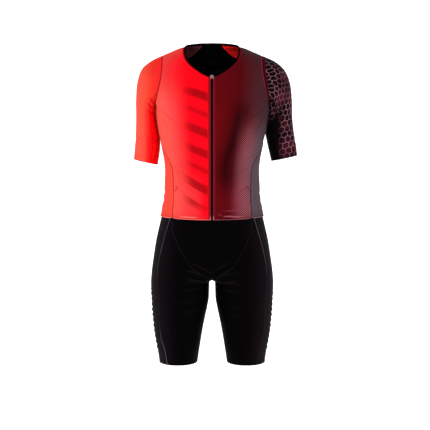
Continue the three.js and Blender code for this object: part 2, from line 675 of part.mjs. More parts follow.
// The turn at which the form's front or back is this far from the middle
function shortsTurn(x, z, side) {
  const { ridge, outerRadius, innerRadius, power } = shortsSection(z);
  const offset = x - ridge;
  const share = Math.min(1, Math.max(-1, offset / (offset > 0 ? outerRadius : Math.max(innerRadius, TINY))));
  return side * Math.acos(Math.sign(share) * Math.abs(share) ** (power / 2));
}

const shortsForm = { pointAt: shortsPoint, normalAt: shortsNormal };
const INSIDE_TURN = Math.PI - 1e-4;
const middleTurn = (z, side) => (z >= CROTCH_Z ? shortsTurn(0, z, side) : side * INSIDE_TURN);
const frontEdgeTurn = (z) => (z >= FRONT_POINT_Z
  ? shortsTurn(readTable(SHORTS_FRONT_EDGE, 'x', z), z, -1)
  : middleTurn(z, -1));
const thighSeamTurn = (z, column, side) => {
  const x = bodyAt(z).half - readTable(THIGH_SEAM_INSET, column, z);
  return shortsTurn(x, z, side);
};

// Seam lines of the shorts' left half, from the bottom up
const innerLevels = [...INNER_SEAM_LEVELS].reverse();
const shortsHeight = SHORTS_TOP_Z - LEG_HEM_Z;
const outerLevels = range(innerLevels.length - 1).map((share) => LEG_HEM_Z + share * shortsHeight);
const seamLine = (levels, turnAt) => levels.map((z) => ({ turn: turnAt(z), climb: z }));
const middleFront = seamLine(innerLevels, (z) => middleTurn(z, -1));
const middleBack = seamLine(innerLevels, (z) => middleTurn(z, 1));
const frontEdge = seamLine(innerLevels, frontEdgeTurn);
const thighFrontSeam = seamLine(outerLevels, (z) => thighSeamTurn(z, 'front', -1));
const thighBackSeam = seamLine(outerLevels, (z) => thighSeamTurn(z, 'back', 1));
function shortsGrid(left, right, columns) {
  const last = left.length - 1;
  const bottom = chartLine(left[0], right[0], columns);
  const top = chartLine(left[last], right[last], columns);
  return fillPatch({ left, right, bottom, top }, shortsForm);
}

// Front panel of the shorts, which narrows to a point just above the crotch
const aboveCrotch = (line) => line.filter(({ climb }) => climb >= FRONT_POINT_Z);
const frontHalf = shortsGrid(aboveCrotch(middleFront), aboveCrotch(frontEdge), SHORTS_FRONT_HALF_COLUMNS);
const frontOther = mirrorGrid(frontHalf);
const shortsFront = frontOther.map((row, j) => [...row, ...frontHalf[j].slice(1)]);
addPiece(suit, 'shorts_front', wallGeometry(standBack(shortsFront)), COLOURS.black);

// Thigh fronts and backs
const bothBlack = { left: COLOURS.black, right: COLOURS.black };
addPair('thigh', shortsGrid(frontEdge, thighFrontSeam, THIGH_COLUMNS), bothBlack);
addPair('leg_back', shortsGrid(thighBackSeam, middleBack, LEG_BACK_COLUMNS), bothBlack);

// Outer sides of the thighs, ribbed below the hip. The ribs have extra rows, which lie straight between
// the rows that the neighbours share, so that the seams still match.
function addRows(grid, top, bottom, count) {
  return grid.flatMap((row, j) => {
    if (j === grid.length - 1) return [row];
    const next = grid[j + 1];
    const ribbed = row[0].point.z >= bottom && next[0].point.z <= top;
    return range(ribbed ? count : 1).slice(0, -1).map((t) => row.map(({ point, normal }, i) => ({
      point: point.clone().lerp(next[i].point, t),
      normal: normal.clone().lerp(next[i].normal, t).normalize(),
    })));
  });
}
const legSide = addRows(
  shortsGrid(thighFrontSeam, thighBackSeam, LEG_SIDE_COLUMNS),
  RIBS_TOP_Z,
  RIBS_BOTTOM_Z,
  RIB_ROWS,
);
const ribRaise = (mirrored) => (i, j) => {
  const { z } = legSide[j][0].point;
  const column = mirrored ? LEG_SIDE_COLUMNS - i : i;
  const inside = smoothStep((RIBS_TOP_Z - z) / RIB_PITCH) * smoothStep((z - RIBS_BOTTOM_Z) / RIB_PITCH);
  const across = Math.sin((Math.PI * column) / LEG_SIDE_COLUMNS) ** 0.5;
  const wave = Math.cos((2 * Math.PI * (z + RIB_SLANT * column)) / RIB_PITCH);
  return RIB_HEIGHT * inside * across * (0.5 + 0.5 * wave);
};
const legSideLeft = wallGeometry(standBack(legSide), { raise: ribRaise(false) });
const legSideRight = wallGeometry(standBack(mirrorGrid(legSide)), { raise: ribRaise(true) });
addPiece(suit, 'leg_side_left', legSideLeft, COLOURS.thighBlack);
addPiece(suit, 'leg_side_right', legSideRight, COLOURS.thighBlack);

// Slider and pull tab, in a frame whose Y points into the chest and whose Z runs up the zip
const sliderSeat = bodyPointAt(0, SLIDER.z, -1);
const sliderFacing = bodyNormal(sliderSeat);
const sliderFrame = new THREE.Group();
sliderFrame.position.copy(sliderSeat);
sliderFrame.rotation.x = -Math.atan2(sliderFacing.z, -sliderFacing.y);
suit.add(sliderFrame);

const plateBack = -(ZIP_COIL_OUTSIDE + SLIDER_CLEARANCE);
const plateFront = plateBack - SLIDER.plate;
const backPlateFront = -ZIP_COIL_INSIDE + SLIDER_CLEARANCE;
const pinY = plateFront - PIN.above;
const sliderPlate = {
  width: SLIDER.width, height: SLIDER.height, corner: SLIDER.corner, thickness: SLIDER.plate, centreZ: 0,
};
const neckSize = [SLIDER.neckWidth, backPlateFront - plateBack + SLIDER.plate, SLIDER.neckHeight];
const ear = (side) => {
  const middle = side * (EAR.inner + EAR.outer) / 2;
  const half = (EAR.outer - EAR.inner) / 2;
  const foot = new THREE.BoxGeometry(2 * half, plateFront - pinY + SLIDER.plate / 2, 2 * EAR.radius)
    .translate(middle, (pinY + plateFront + SLIDER.plate / 2) / 2, PIN.up);
  return toSolid(bar(EAR.radius, half, pinY, PIN.up, middle)).add(toSolid(foot));
};
const slider = [
  plate({ ...sliderPlate, front: plateFront }),
  plate({ ...sliderPlate, front: backPlateFront }),
  new THREE.BoxGeometry(...neckSize)
    .translate(0, (plateBack + backPlateFront) / 2, (SLIDER.height - SLIDER.neckHeight) / 2),
  bar(PIN.radius, EAR.outer, pinY, PIN.up),
].map(toSolid).concat([ear(-1), ear(1)]).reduce((all, piece) => all.add(piece));
addPiece(sliderFrame, 'slider', toGeometry(slider), COLOURS.sliderGrey, METAL_FINISH);

const tabPlate = plate({
  width: TAB.width, height: TAB.length - TAB.neck, corner: TAB.corner, thickness: TAB.thickness,
  front: pinY - TAB.thickness / 2, centreZ: PIN.up - (TAB.length + TAB.neck) / 2,
});
const tabNeck = new THREE.BoxGeometry(2 * EYE.half, TAB.thickness, TAB.neck + TAB.corner)
  .translate(0, pinY, PIN.up - (TAB.neck + TAB.corner) / 2);
const tab = toSolid(tabPlate)
  .add(toSolid(tabNeck))
  .add(toSolid(bar(EYE.outer, EYE.half, pinY, PIN.up)))
  .subtract(toSolid(bar(EYE.inner, EYE.half + 1, pinY, PIN.up)));
addPiece(sliderFrame, 'pull_tab', toGeometry(tab), COLOURS.sliderGrey, METAL_FINISH);

export default suit;
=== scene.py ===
import math

import bpy
import numpy as np
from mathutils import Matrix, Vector


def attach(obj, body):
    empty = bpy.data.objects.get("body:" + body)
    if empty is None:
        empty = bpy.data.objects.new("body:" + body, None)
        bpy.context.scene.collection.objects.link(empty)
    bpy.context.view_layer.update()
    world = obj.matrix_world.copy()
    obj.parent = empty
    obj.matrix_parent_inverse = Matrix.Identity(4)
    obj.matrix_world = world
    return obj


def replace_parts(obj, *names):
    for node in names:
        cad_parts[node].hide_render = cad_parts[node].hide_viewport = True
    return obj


# A short-sleeved triathlon suit, filled out as it is when worn. Shapes are worked out in millimetres,
# with +Z up, -Y to the front and the origin between the neckline's shoulder points, and go into
# the scene in metres. Each cloth piece follows the form that its solid follows, in finer steps.

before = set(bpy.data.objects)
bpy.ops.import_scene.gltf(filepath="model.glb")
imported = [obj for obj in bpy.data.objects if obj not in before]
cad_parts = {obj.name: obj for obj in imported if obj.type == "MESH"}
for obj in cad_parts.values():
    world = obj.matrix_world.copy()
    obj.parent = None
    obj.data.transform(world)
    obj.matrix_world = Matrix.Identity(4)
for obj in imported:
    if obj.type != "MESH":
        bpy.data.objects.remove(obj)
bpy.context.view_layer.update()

MM = 0.001

# Cloth and seams
CLOTH = 1.2
SEAM_GAP = 0.4
REFINE = 7

# Raised slanting ribs down the outside of each thigh
RIB_HEIGHT = 2.1
RIB_PITCH = 16
RIB_SLANT = 9
RIBS_TOP_Z = -700
RIBS_BOTTOM_Z = -903
RIB_SHARPNESS = 1.4
RIB_END_POWER = 0.5
CROSS_RIB_HEIGHT = 0.45
CROSS_RIB_PITCH = 7.5
CROSS_RIB_SLANT = 1.6 * RIB_SLANT

# How the ribs' height wanders: share, length and start
RIB_WANDER = ((0.3, 21, 1.3), (0.15, 8.3, 0))

# Levels
ARMPIT_Z = -185
JERSEY_HEM_Z = -497
SHORTS_TOP_Z = -485
CROTCH_Z = -679
LEG_HEM_Z = -928
NECK_FRONT_Z = -93
HEM_LIFT = 2.8
HEM_LIFT_START_Z = -441
HEM_LIFT_END_Z = -469

# Zip
ZIP_COIL_HALF = 2.9
ZIP_TAPE_HALF = 6
ZIP_COIL_INSIDE = -0.6
ZIP_TOP_Z = -88
TEETH_TOP_Z = -91.5
TOOTH_PITCH = 1.7
TOOTH = {"inner": 0.25, "outer": 2.35, "half_height": 0.52, "middle": 0.775, "half_depth": 0.975}


def smooth(t):
    t = np.clip(t, 0, 1)
    return t * t * (3 - 2 * t)


def bell(distance, width):
    return np.exp(-((distance / width) ** 2))


# Tables of the form
FINE_Z = 0.1


class Table:
    """Smooth curves through a table's named columns, which never overshoot its rows."""

    def __init__(self, names, rows):
        rows = np.array(sorted(rows), float)
        steps = int(round((rows[-1, 0] - rows[0, 0]) / FINE_Z))
        self.z = np.linspace(rows[0, 0], rows[-1, 0], steps + 1)
        self.columns = {name: self.curve(rows[:, 0], rows[:, i + 1]) for i, name in enumerate(names)}

    def curve(self, x, y):
        slope = np.diff(y) / np.diff(x)
        before, after = slope[:-1], slope[1:]
        same_way = before * after > 0
        total = np.where(same_way, before + after, 1)
        inner = np.where(same_way, 2 * before * after / total, 0)
        tangent = np.concatenate([slope[:1], inner, slope[-1:]])
        i = np.clip(np.searchsorted(x, self.z, side="right") - 1, 0, len(x) - 2)
        width = x[i + 1] - x[i]
        t = (self.z - x[i]) / width
        rise = y[i + 1] - y[i]
        m0, m1 = tangent[i] * width, tangent[i + 1] * width
        return y[i] + m0 * t + (3 * rise - 2 * m0 - m1) * t**2 + (m0 + m1 - 2 * rise) * t**3

    def read(self, name, z):
        return np.interp(z, self.z, self.columns[name])


# Half width, depth forward and back of the arms' plane, and power of each rounded section
BODY = Table(("half", "front", "back", "power"), [
    (60, 62, 48, 58, 2), (14, 67, 54, 64, 2), (0, 75, 57, 68, 2), (-7, 97, 59, 72, 2),
    (-16, 118, 62, 76, 2), (-25, 139, 66, 81, 2), (-34, 157, 70, 86, 2.02), (-46, 174, 76, 92, 2.05),
    (-62, 184, 83, 99, 2.1), (-85, 186, 94, 106, 2.15), (-115, 181, 106, 112, 2.2),
    (-150, 173, 117, 115, 2.25), (-185, 165, 122, 115, 2.3), (-225, 159, 121, 111, 2.3),
    (-255, 153.5, 117, 106, 2.3), (-290, 147, 112, 99, 2.3), (-330, 139.5, 106, 93, 2.3),
    (-360, 137, 102, 90, 2.3), (-400, 138.5, 101, 90, 2.3), (-440, 141, 102, 93, 2.3),
    (-480, 145, 104, 99, 2.3), (-512, 152, 106, 105, 2.3), (-565, 164, 109, 113, 2.3),
    (-618, 172.5, 110, 119, 2.3), (-660, 178, 107, 119.5, 2.25), (-690, 180, 103, 116, 2.2),
    (-733, 178, 96, 108, 2.15), (-786, 174.5, 87, 97, 2.1), (-845, 169, 77, 85, 2.1),
    (-883, 162, 70.5, 77, 2.1), (-928, 156, 63.5, 69.5, 2.1),
])
INNER_LEG = Table(("x",), [
    (CROTCH_Z, 0), (-681, 5.2), (-685, 8.2), (-692, 9.6), (-733, 10.8),
    (-760, 15), (-786, 20.6), (-839, 31), (-883, 38), (-928, 45),
])
ARMHOLE = Table(("x",), [(-20, 143), (-63, 143.5), (-105, 149), (-144, 158), (-171, 163.5), (-192, 164)])
ARMHOLE_CENTRE_Y = 3
ARMHOLE_CENTRE_Z = -106
ARMHOLE_LIMIT = 130
STEPS = {"front": 11, "side": 6, "back": 7, "yoke": 4}
ARMHOLE_TOTAL = sum(STEPS.values())

# Neckline places seen from the front, as (x, z)
NECK_FRONT = [
    (ZIP_TAPE_HALF, NECK_FRONT_Z), (24, -85), (53, -65), (71, -46), (79, -26), (80.5, -10), (80, -1.6),
]
NECK_BACK = [(80, -1.6), (68, 3.5), (38, 9), (0, 11)]
YOKE_NECK_X = 30
BINDING_WIDTH = 5
BINDING_THICKNESS = 2

# Jersey seams, as the turn from straight sideways in degrees
JERSEY_SEAMS = Table(("front", "back"), [
    (-175, -9.5, 12), (-240, -6.5, 12), (-282, -7.5, 16), (-300, -14, 21), (-317, -22, 25),
    (-335, -27, 28), (-352, -30, 30), (-420, -32, 32), (-497, -34, 34),
])
TURN_TO_ARMHOLE = 0.8

# The legs' front and back ridges, and how far each leg has closed round on its inner side
LEG_FORM = Table(("ridge", "closed"), [
    (-550, 0, 0), (-610, 22, 0.08), (-640, 39, 0.17), (-656, 49, 0.34), (-668, 56, 0.64),
    (-674, 60, 0.83), (-677.5, 62, 0.95), (CROTCH_Z, 63, 1), (-720, 80, 1), (-760, 91, 1),
    (-800, 97, 1), (-850, 100, 1), (-928, 100.5, 1),
])
FRONT_POINT_Z = -668
SHORTS_FRONT_EDGE = Table(("x",), [
    (-485, 112), (-518, 116), (-560, 102), (-590, 87), (-630, 61), (-656, 26), (FRONT_POINT_Z, 1.5),
])
THIGH_SEAM_INSET = Table(("front", "back"), [
    (-485, 29, 32), (-512, 26, 31), (-560, 23, 30), (-596, 20, 29), (-630, 18, 28), (-660, 20, 28),
    (-724, 23, 28), (-794, 20, 27), (-845, 19.5, 26), (-883, 24, 26), (-928, 25, 26),
])

# Sleeve sections from the armhole to the cuff: outer x and z, inner x and z, half depth, middle y
LEFT_SLEEVE = [
    (181, -43, 167.2, -190, 69, 4), (209, -66, 167.2, -195, 66, 8), (226, -102, 166.5, -203, 62, 13),
    (233, -150, 164.8, -216, 58, 18), (235, -205, 161.6, -238, 55, 22), (240, -249, 162, -264.3, 52, 23),
    (246, -282, 168, -297.7, 50, 22), (250, -316, 176, -332, 48, 20),
]
RIGHT_SLEEVE = [
    (178, -43, 167.2, -190, 69, 4), (203.5, -65, 167.2, -195, 66, 8), (217, -101, 166.5, -203, 62, 13),
    (222, -150, 164.8, -216, 58, 18), (222.5, -205, 160.6, -240, 55, 22), (224, -249, 155.8, -269, 52, 24),
    (226.5, -289, 156, -304, 50, 23), (230, -327, 162, -343, 48, 21),
]
SLEEVE_POWER = 2.15
SLEEVE_ROWS = 13
UNDER_SLEEVE_HALF = 5

# Where each sleeve leans in behind the body's side
LEAN_IN = 8
LEAN_Y = 52
LEAN_Y_REACH = 20
LEAN_Z = -229
LEAN_Z_REACH = 42

# Rows and columns between seams, each of which is divided into REFINE steps
SEAM_ROWS = 12
ZIP_ROWS = 17
FRONT_COLUMNS = 8
NECK_ROWS = SEAM_ROWS + STEPS["front"] - ZIP_ROWS
BACK_HALF_COLUMNS = 7
INNER_SEAM_LEVELS = [
    -485, -512, -535, -558, -581, -603, -624, -642, -656, FRONT_POINT_Z, -674, -677.5, CROTCH_Z,
    -681, -685, -693, -710, -734, -760, -787, -814, -841, -868, -895, LEG_HEM_Z,
]
THIGH_COLUMNS = 8
LEG_SIDE_COLUMNS = 5
LEG_BACK_COLUMNS = 8
SHORTS_FRONT_HALF_COLUMNS = 5


def shares(count):
    return np.linspace(0, 1, count * REFINE + 1)


def point(x, y, z):
    return np.stack(np.broadcast_arrays(x, y, z), -1).astype(float)


LEAST_LENGTH = 1e-12
LEAST_SPAN = 1e-8


def unit(v):
    return v / np.maximum(np.linalg.norm(v, axis=-1, keepdims=True), LEAST_LENGTH)


def signed_power(v, power):
    return np.sign(v) * np.abs(v) ** power


def body_depth(in_front, z):
    return np.where(in_front, BODY.read("front", z), BODY.read("back", z))


# The upper body's form
def body_level(p):
    """Below 1 inside the body and above 1 outside it."""
    x, y, z = p[..., 0], p[..., 1], p[..., 2]
    power = BODY.read("power", z)
    across, along = np.abs(x) / BODY.read("half", z), np.abs(y) / body_depth(y < 0, z)
    return (across**power + along**power) ** (1 / power)


SLOPE_STEP = 0.5


def body_normal(p):
    slopes = [body_level(p + step) - body_level(p - step) for step in SLOPE_STEP * np.eye(3)]
    return unit(np.stack(slopes, -1))


def body_point_at(x, z, side):
    x, z = np.broadcast_arrays(np.asarray(x, float), np.asarray(z, float))
    power = BODY.read("power", z)
    share = np.maximum(0, 1 - (np.abs(x) / BODY.read("half", z)) ** power)
    return point(x, side * body_depth(side < 0, z) * share ** (1 / power), z)


HALVINGS = 34


def reach_inside(point_at, limit, shape):
    """The largest distance along a way from its start that stays inside the body."""
    low, high = np.zeros(shape), np.full(shape, float(limit))
    for _ in range(HALVINGS):
        middle = (low + high) / 2
        inside = body_level(point_at(middle)) < 1
        low = np.where(inside, middle, low)
        high = np.where(inside, high, middle)
    return (low + high) / 2


# Jersey chart: turn round the body, and climb up it, which above the armpit is an arc over the shoulders
CHART_RADIUS = 150
CHART_LIMIT = 420
CHART_CENTRE = np.array([0, 0, ARMPIT_Z])


def chart_point(turn, climb):
    turn, climb = np.broadcast_arrays(turn, climb)
    z = ARMPIT_Z + np.minimum(climb, 0)
    reach = 1 / body_level(point(np.cos(turn), np.sin(turn), z))
    below = point(np.cos(turn) * reach, np.sin(turn) * reach, z)
    lean = np.maximum(climb, 0) / CHART_RADIUS
    way = point(np.cos(lean) * np.cos(turn), np.cos(lean) * np.sin(turn), np.sin(lean))
    reach = reach_inside(lambda r: CHART_CENTRE + way * r[..., None], CHART_LIMIT, turn.shape)
    return np.where((climb <= 0)[..., None], below, CHART_CENTRE + way * reach[..., None])


def chart_of(p):
    up = p[..., 2] - ARMPIT_Z
    arc = CHART_RADIUS * np.arctan2(up, np.hypot(p[..., 0], p[..., 1]))
    return np.stack([np.arctan2(p[..., 1], p[..., 0]), np.where(up <= 0, up, arc)], -1)


def jersey_form(turn, climb):
    points = chart_point(turn, climb)
    return points, body_normal(points)


def along_line(points):
    """Distance from the line's start to each of its points."""
    return np.concatenate([[0], np.cumsum(np.linalg.norm(np.diff(points, axis=0), axis=1))])


def read_at(goals, along, values):
    """Points or normals at goals along a line."""
    return np.stack([np.interp(goals, along, values[:, k]) for k in range(3)], -1)


def evenly(points, steps):
    along = along_line(points)
    return read_at(np.linspace(0, along[-1], steps * REFINE + 1), along, points)


def curve_point(marks, share):
    """Centripetal curve through marks, an array of (mark, ..., 3), at each share of its length."""
    marks = np.concatenate([[2 * marks[0] - marks[1]], marks, [2 * marks[-1] - marks[-2]]])
    at = np.clip(share, 0, 1) * (len(marks) - 3)
    i = np.minimum(at.astype(int), len(marks) - 4)
    lengths = np.linalg.norm(np.diff(marks, axis=0), axis=-1, keepdims=True)
    spans = np.sqrt(np.maximum(lengths, LEAST_SPAN))
    p0, p1, p2, p3 = (marks[i + k] for k in range(4))
    d0, d1, d2 = (spans[i + k] for k in range(3))
    m1 = ((p1 - p0) / d0 - (p2 - p0) / (d0 + d1) + (p2 - p1) / d1) * d1
    m2 = ((p2 - p1) / d1 - (p3 - p1) / (d1 + d2) + (p3 - p2) / d2) * d1
    t = (at - i).reshape((-1,) + (1,) * (marks.ndim - 1))
    return p1 + m1 * t + (3 * (p2 - p1) - 2 * m1 - m2) * t**2 + (2 * (p1 - p2) + m1 + m2) * t**3


FINE_STEPS = 240


def front_view_line(places, side):
    marks = np.array([(x, 0, z) for x, z in places], float)
    dense = curve_point(marks, np.linspace(0, 1, FINE_STEPS + 1))
    return body_point_at(dense[:, 0], dense[:, 2], side)


def armhole_point(share):
    turn = share * 2 * np.pi

    def point_at(reach):
        z = ARMHOLE_CENTRE_Z + np.cos(turn) * reach
        return point(ARMHOLE.read("x", z), ARMHOLE_CENTRE_Y - np.sin(turn) * reach, z)

    return point_at(reach_inside(point_at, ARMHOLE_LIMIT, turn.shape))


armhole = armhole_point(shares(ARMHOLE_TOTAL))
FRONT_END = STEPS["front"] * REFINE
SIDE_END = FRONT_END + STEPS["side"] * REFINE
BACK_END = SIDE_END + STEPS["back"] * REFINE


def jersey_seam(column, top):
    share = shares(SEAM_ROWS)
    z = JERSEY_HEM_Z + share * (top[2] - JERSEY_HEM_Z)
    blend = smooth((share - TURN_TO_ARMHOLE) / (1 - TURN_TO_ARMHOLE))
    turn = np.radians(JERSEY_SEAMS.read(column, z)) * (1 - blend) + math.atan2(top[1], top[0]) * blend
    seam = np.stack([turn, chart_of(point(BODY.read("half", z), 0, z))[:, 1]], -1)
    seam[-1] = chart_of(top)
    return seam


def chart_line(a, b, steps):
    return a + (b - a) * shares(steps)[:, None]


front_seam = jersey_seam("front", armhole[FRONT_END])
back_seam = jersey_seam("back", armhole[SIDE_END])
zip_levels = JERSEY_HEM_Z + shares(ZIP_ROWS) * (NECK_FRONT_Z - JERSEY_HEM_Z)
zip_edge = body_point_at(ZIP_TAPE_HALF, zip_levels, -1)
neck_front = evenly(front_view_line(NECK_FRONT, -1), NECK_ROWS)
neck_back = front_view_line(NECK_BACK, 1)
yoke_neck = int(np.argmax(neck_back[:, 0] <= YOKE_NECK_X))
neck_yoke = evenly(neck_back[: yoke_neck + 1], STEPS["yoke"])
neck_middle = evenly(neck_back[yoke_neck:], BACK_HALF_COLUMNS)
shoulder_seam = chart_line(chart_of(neck_front[-1]), chart_of(armhole[0]), FRONT_COLUMNS)
yoke_seam = chart_line(chart_of(armhole[BACK_END]), chart_of(neck_yoke[-1]), FRONT_COLUMNS)


class Grid:
    """A grid of surface points and normals: rows go up, and columns to the right seen from outside."""

    def __init__(self, points, normals):
        self.points = points
        self.normals = normals

    def mirrored(self):
        flip = np.array([-1, 1, 1])
        return Grid(self.points[:, ::-1] * flip, self.normals[:, ::-1] * flip)

    def moved(self, out):
        return Grid(self.points + self.normals * np.asarray(out)[..., None], self.normals)

    def columns(self, start, end):
        return Grid(self.points[:, start:end], self.normals[:, start:end])

    def line(self, where):
        return Line(self.points[where], self.normals[where])

    def distances(self):
        """Distances along the cloth from the left, right, bottom and top edges."""
        across = np.linalg.norm(np.diff(self.points, axis=1), axis=-1)
        left = np.pad(np.cumsum(across, 1), ((0, 0), (1, 0)))
        up = np.linalg.norm(np.diff(self.points, axis=0), axis=-1)
        bottom = np.pad(np.cumsum(up, 0), ((1, 0), (0, 0)))
        return left, left[:, -1:] - left, bottom, bottom[-1:] - bottom

    def stood_back(self):
        """The grid with its edges moved in, half a seam gap each."""
        points = self.points.copy()
        inward = SEAM_GAP / 2
        for edge, inner in ((np.s_[:, 0], np.s_[:, 1]), (np.s_[:, -1], np.s_[:, -2]),
                            (np.s_[0], np.s_[1]), (np.s_[-1], np.s_[-2])):
            points[edge] += unit(self.points[inner] - self.points[edge]) * inward
        return Grid(points, self.normals)


def joined(left, right):
    """One grid from two that share a column."""
    return Grid(
        np.concatenate([left.points, right.points[:, 1:]], 1),
        np.concatenate([left.normals, right.normals[:, 1:]], 1),
    )


def placed(grid, mirrored):
    """A grid of the left half, or its mirror image for the right."""
    return grid.mirrored() if mirrored else grid


def fill_patch(left, right, bottom, top, form=jersey_form):
    """A grid filled in between four seam lines of a form's chart."""
    u = np.linspace(0, 1, len(bottom))[None, :, None]
    v = np.linspace(0, 1, len(left))[:, None, None]
    sides = (1 - u) * left[:, None] + u * right[:, None]
    ends = (1 - v) * bottom[None] + v * top[None]
    corners = (1 - v) * ((1 - u) * bottom[0] + u * bottom[-1]) + v * ((1 - u) * top[0] + u * top[-1])
    chart = sides + ends - corners
    return Grid(*form(chart[..., 0], chart[..., 1]))


def lift_hem(grid):
    share = (HEM_LIFT_START_Z - grid.points[..., 2]) / (HEM_LIFT_START_Z - HEM_LIFT_END_Z)
    return grid.moved(HEM_LIFT * smooth(share))


# Jersey panels
front = lift_hem(fill_patch(
    left=np.concatenate([chart_of(zip_edge), chart_of(neck_front[1:])]),
    right=np.concatenate([front_seam, chart_of(armhole[:FRONT_END])[::-1]]),
    bottom=chart_line(chart_of(zip_edge[0]), front_seam[0], FRONT_COLUMNS),
    top=shoulder_seam,
))
side = lift_hem(fill_patch(
    left=front_seam,
    right=back_seam,
    bottom=chart_line(front_seam[0], back_seam[0], STEPS["side"]),
    top=chart_of(armhole[FRONT_END : SIDE_END + 1]),
))
BACK_ROWS = SEAM_ROWS + STEPS["back"] + FRONT_COLUMNS
back_hem = np.array([np.pi / 2, JERSEY_HEM_Z - ARMPIT_Z])
back_half = fill_patch(
    left=np.concatenate([back_seam, chart_of(armhole[SIDE_END + 1 : BACK_END]), yoke_seam]),
    right=chart_line(back_hem, chart_of(neck_middle[-1]), BACK_ROWS),
    bottom=chart_line(back_seam[0], back_hem, BACK_HALF_COLUMNS),
    top=chart_of(neck_middle),
)
back = lift_hem(joined(back_half, back_half.mirrored()))
yoke = fill_patch(
    left=chart_of(armhole[BACK_END:]),
    right=chart_of(neck_yoke[::-1]),
    bottom=yoke_seam,
    top=shoulder_seam[::-1],
)


# Sleeves
def sleeve_grid(sections):
    turn = shares(ARMHOLE_TOTAL) * 2 * np.pi
    start = armhole.copy()
    start[:, 0] += SEAM_GAP + CLOTH * (body_normal(armhole)[:, 0] + np.maximum(0, -np.cos(turn)))

    across, around = (signed_power(v, 2 / SLEEVE_POWER) for v in (np.cos(turn), np.sin(turn)))
    marks = [start]
    for out_x, out_z, in_x, in_z, depth, y in sections:
        along = across / 2
        x = (out_x + in_x) / 2 + (out_x - in_x) * along
        z = (out_z + in_z) / 2 + (out_z - in_z) * along
        marks.append(point(x, y - depth * around, z))
    points = curve_point(np.array(marks), 1 - shares(SLEEVE_ROWS))[:, ::-1]

    def normals():
        closed = np.concatenate([points[:, -2:-1], points, points[:, 1:2]], 1)
        return unit(np.cross(closed[:, 2:] - closed[:, :-2], np.gradient(points, axis=0)))

    leaning = bell(points[..., 1] - LEAN_Y, LEAN_Y_REACH) * bell(points[..., 2] - LEAN_Z, LEAN_Z_REACH)
    points[..., 0] -= LEAN_IN * leaning * smooth(-normals()[..., 0])
    return Grid(points, normals())


def split_sleeve(ring):
    middle = ARMHOLE_TOTAL * REFINE // 2
    start, end = middle - UNDER_SLEEVE_HALF * REFINE, middle + UNDER_SLEEVE_HALF * REFINE
    return joined(ring.columns(end, None), ring.columns(0, start + 1)), ring.columns(start, end + 1)


# Shorts form: one round above, which closes into two rounds at the crotch. A turn of 0 is the outer
# side, negative turns are in front, and half a turn either way is the inner side.
TINY = 1e-6
TURN_STEP = 0.01
INSIDE_TURN = np.pi - 1e-4


def shorts_section(z):
    ridge = LEG_FORM.read("ridge", z)
    joined = ridge / np.maximum(LEG_FORM.read("closed", z), TINY)
    inner = np.where(z > CROTCH_Z, joined, ridge - INNER_LEG.read("x", z))
    return ridge, BODY.read("half", z) - ridge, inner


def shorts_point(turn, z):
    ridge, outer_radius, inner_radius = shorts_section(z)
    power = BODY.read("power", z)
    across = signed_power(np.cos(turn), 2 / power)
    y = signed_power(np.sin(turn), 2 / power) * body_depth(turn < 0, z)
    return point(ridge + across * np.where(across > 0, outer_radius, inner_radius), y, z)


def shorts_form(turn, z):
    points = shorts_point(turn, z)
    across = shorts_point(turn + TURN_STEP, z) - shorts_point(turn - TURN_STEP, z)
    up = shorts_point(turn, z + TURN_STEP) - shorts_point(turn, z - TURN_STEP)
    normals = np.cross(across, up)
    normals[..., 0] = np.where(np.abs(points[..., 0]) < TURN_STEP, 0, normals[..., 0])
    return points, unit(normals)


def shorts_turn(x, z, side):
    ridge, outer_radius, inner_radius = shorts_section(z)
    offset = x - ridge
    share = np.clip(offset / np.where(offset > 0, outer_radius, np.maximum(inner_radius, TINY)), -1, 1)
    return side * np.arccos(signed_power(share, BODY.read("power", z) / 2))


def middle_turn(z, side):
    return np.where(z >= CROTCH_Z, shorts_turn(0, z, side), side * INSIDE_TURN)


def front_edge_turn(z):
    edge = shorts_turn(SHORTS_FRONT_EDGE.read("x", z), z, -1)
    return np.where(z >= FRONT_POINT_Z, edge, middle_turn(z, -1))


def thigh_seam_turn(column, side):
    return lambda z: shorts_turn(BODY.read("half", z) - THIGH_SEAM_INSET.read(column, z), z, side)


coarse_levels = np.array(INNER_SEAM_LEVELS[::-1], float)
LEVELS = len(coarse_levels) - 1
inner_levels = np.interp(shares(LEVELS) * LEVELS, np.arange(LEVELS + 1), coarse_levels)
outer_levels = LEG_HEM_Z + shares(LEVELS) * (SHORTS_TOP_Z - LEG_HEM_Z)


def seam_line(levels, turn_at):
    return np.stack([turn_at(levels), levels], -1)


middle_front = seam_line(inner_levels, lambda z: middle_turn(z, -1))
middle_back = seam_line(inner_levels, lambda z: middle_turn(z, 1))
front_edge = seam_line(inner_levels, front_edge_turn)
thigh_front_seam = seam_line(outer_levels, thigh_seam_turn("front", -1))
thigh_back_seam = seam_line(outer_levels, thigh_seam_turn("back", 1))


def shorts_patch(left, right, columns):
    bottom = chart_line(left[0], right[0], columns)
    return fill_patch(left, right, bottom, chart_line(left[-1], right[-1], columns), shorts_form)


above_point = inner_levels >= FRONT_POINT_Z
front_half = shorts_patch(middle_front[above_point], front_edge[above_point], SHORTS_FRONT_HALF_COLUMNS)
shorts_front = joined(front_half.mirrored(), front_half)
thigh = shorts_patch(front_edge, thigh_front_seam, THIGH_COLUMNS)
leg_back = shorts_patch(thigh_back_seam, middle_back, LEG_BACK_COLUMNS)
leg_side = shorts_patch(thigh_front_seam, thigh_back_seam, LEG_SIDE_COLUMNS)


def rounded_wave(place, pitch):
    return 0.5 + 0.5 * np.cos(2 * np.pi * place / pitch)


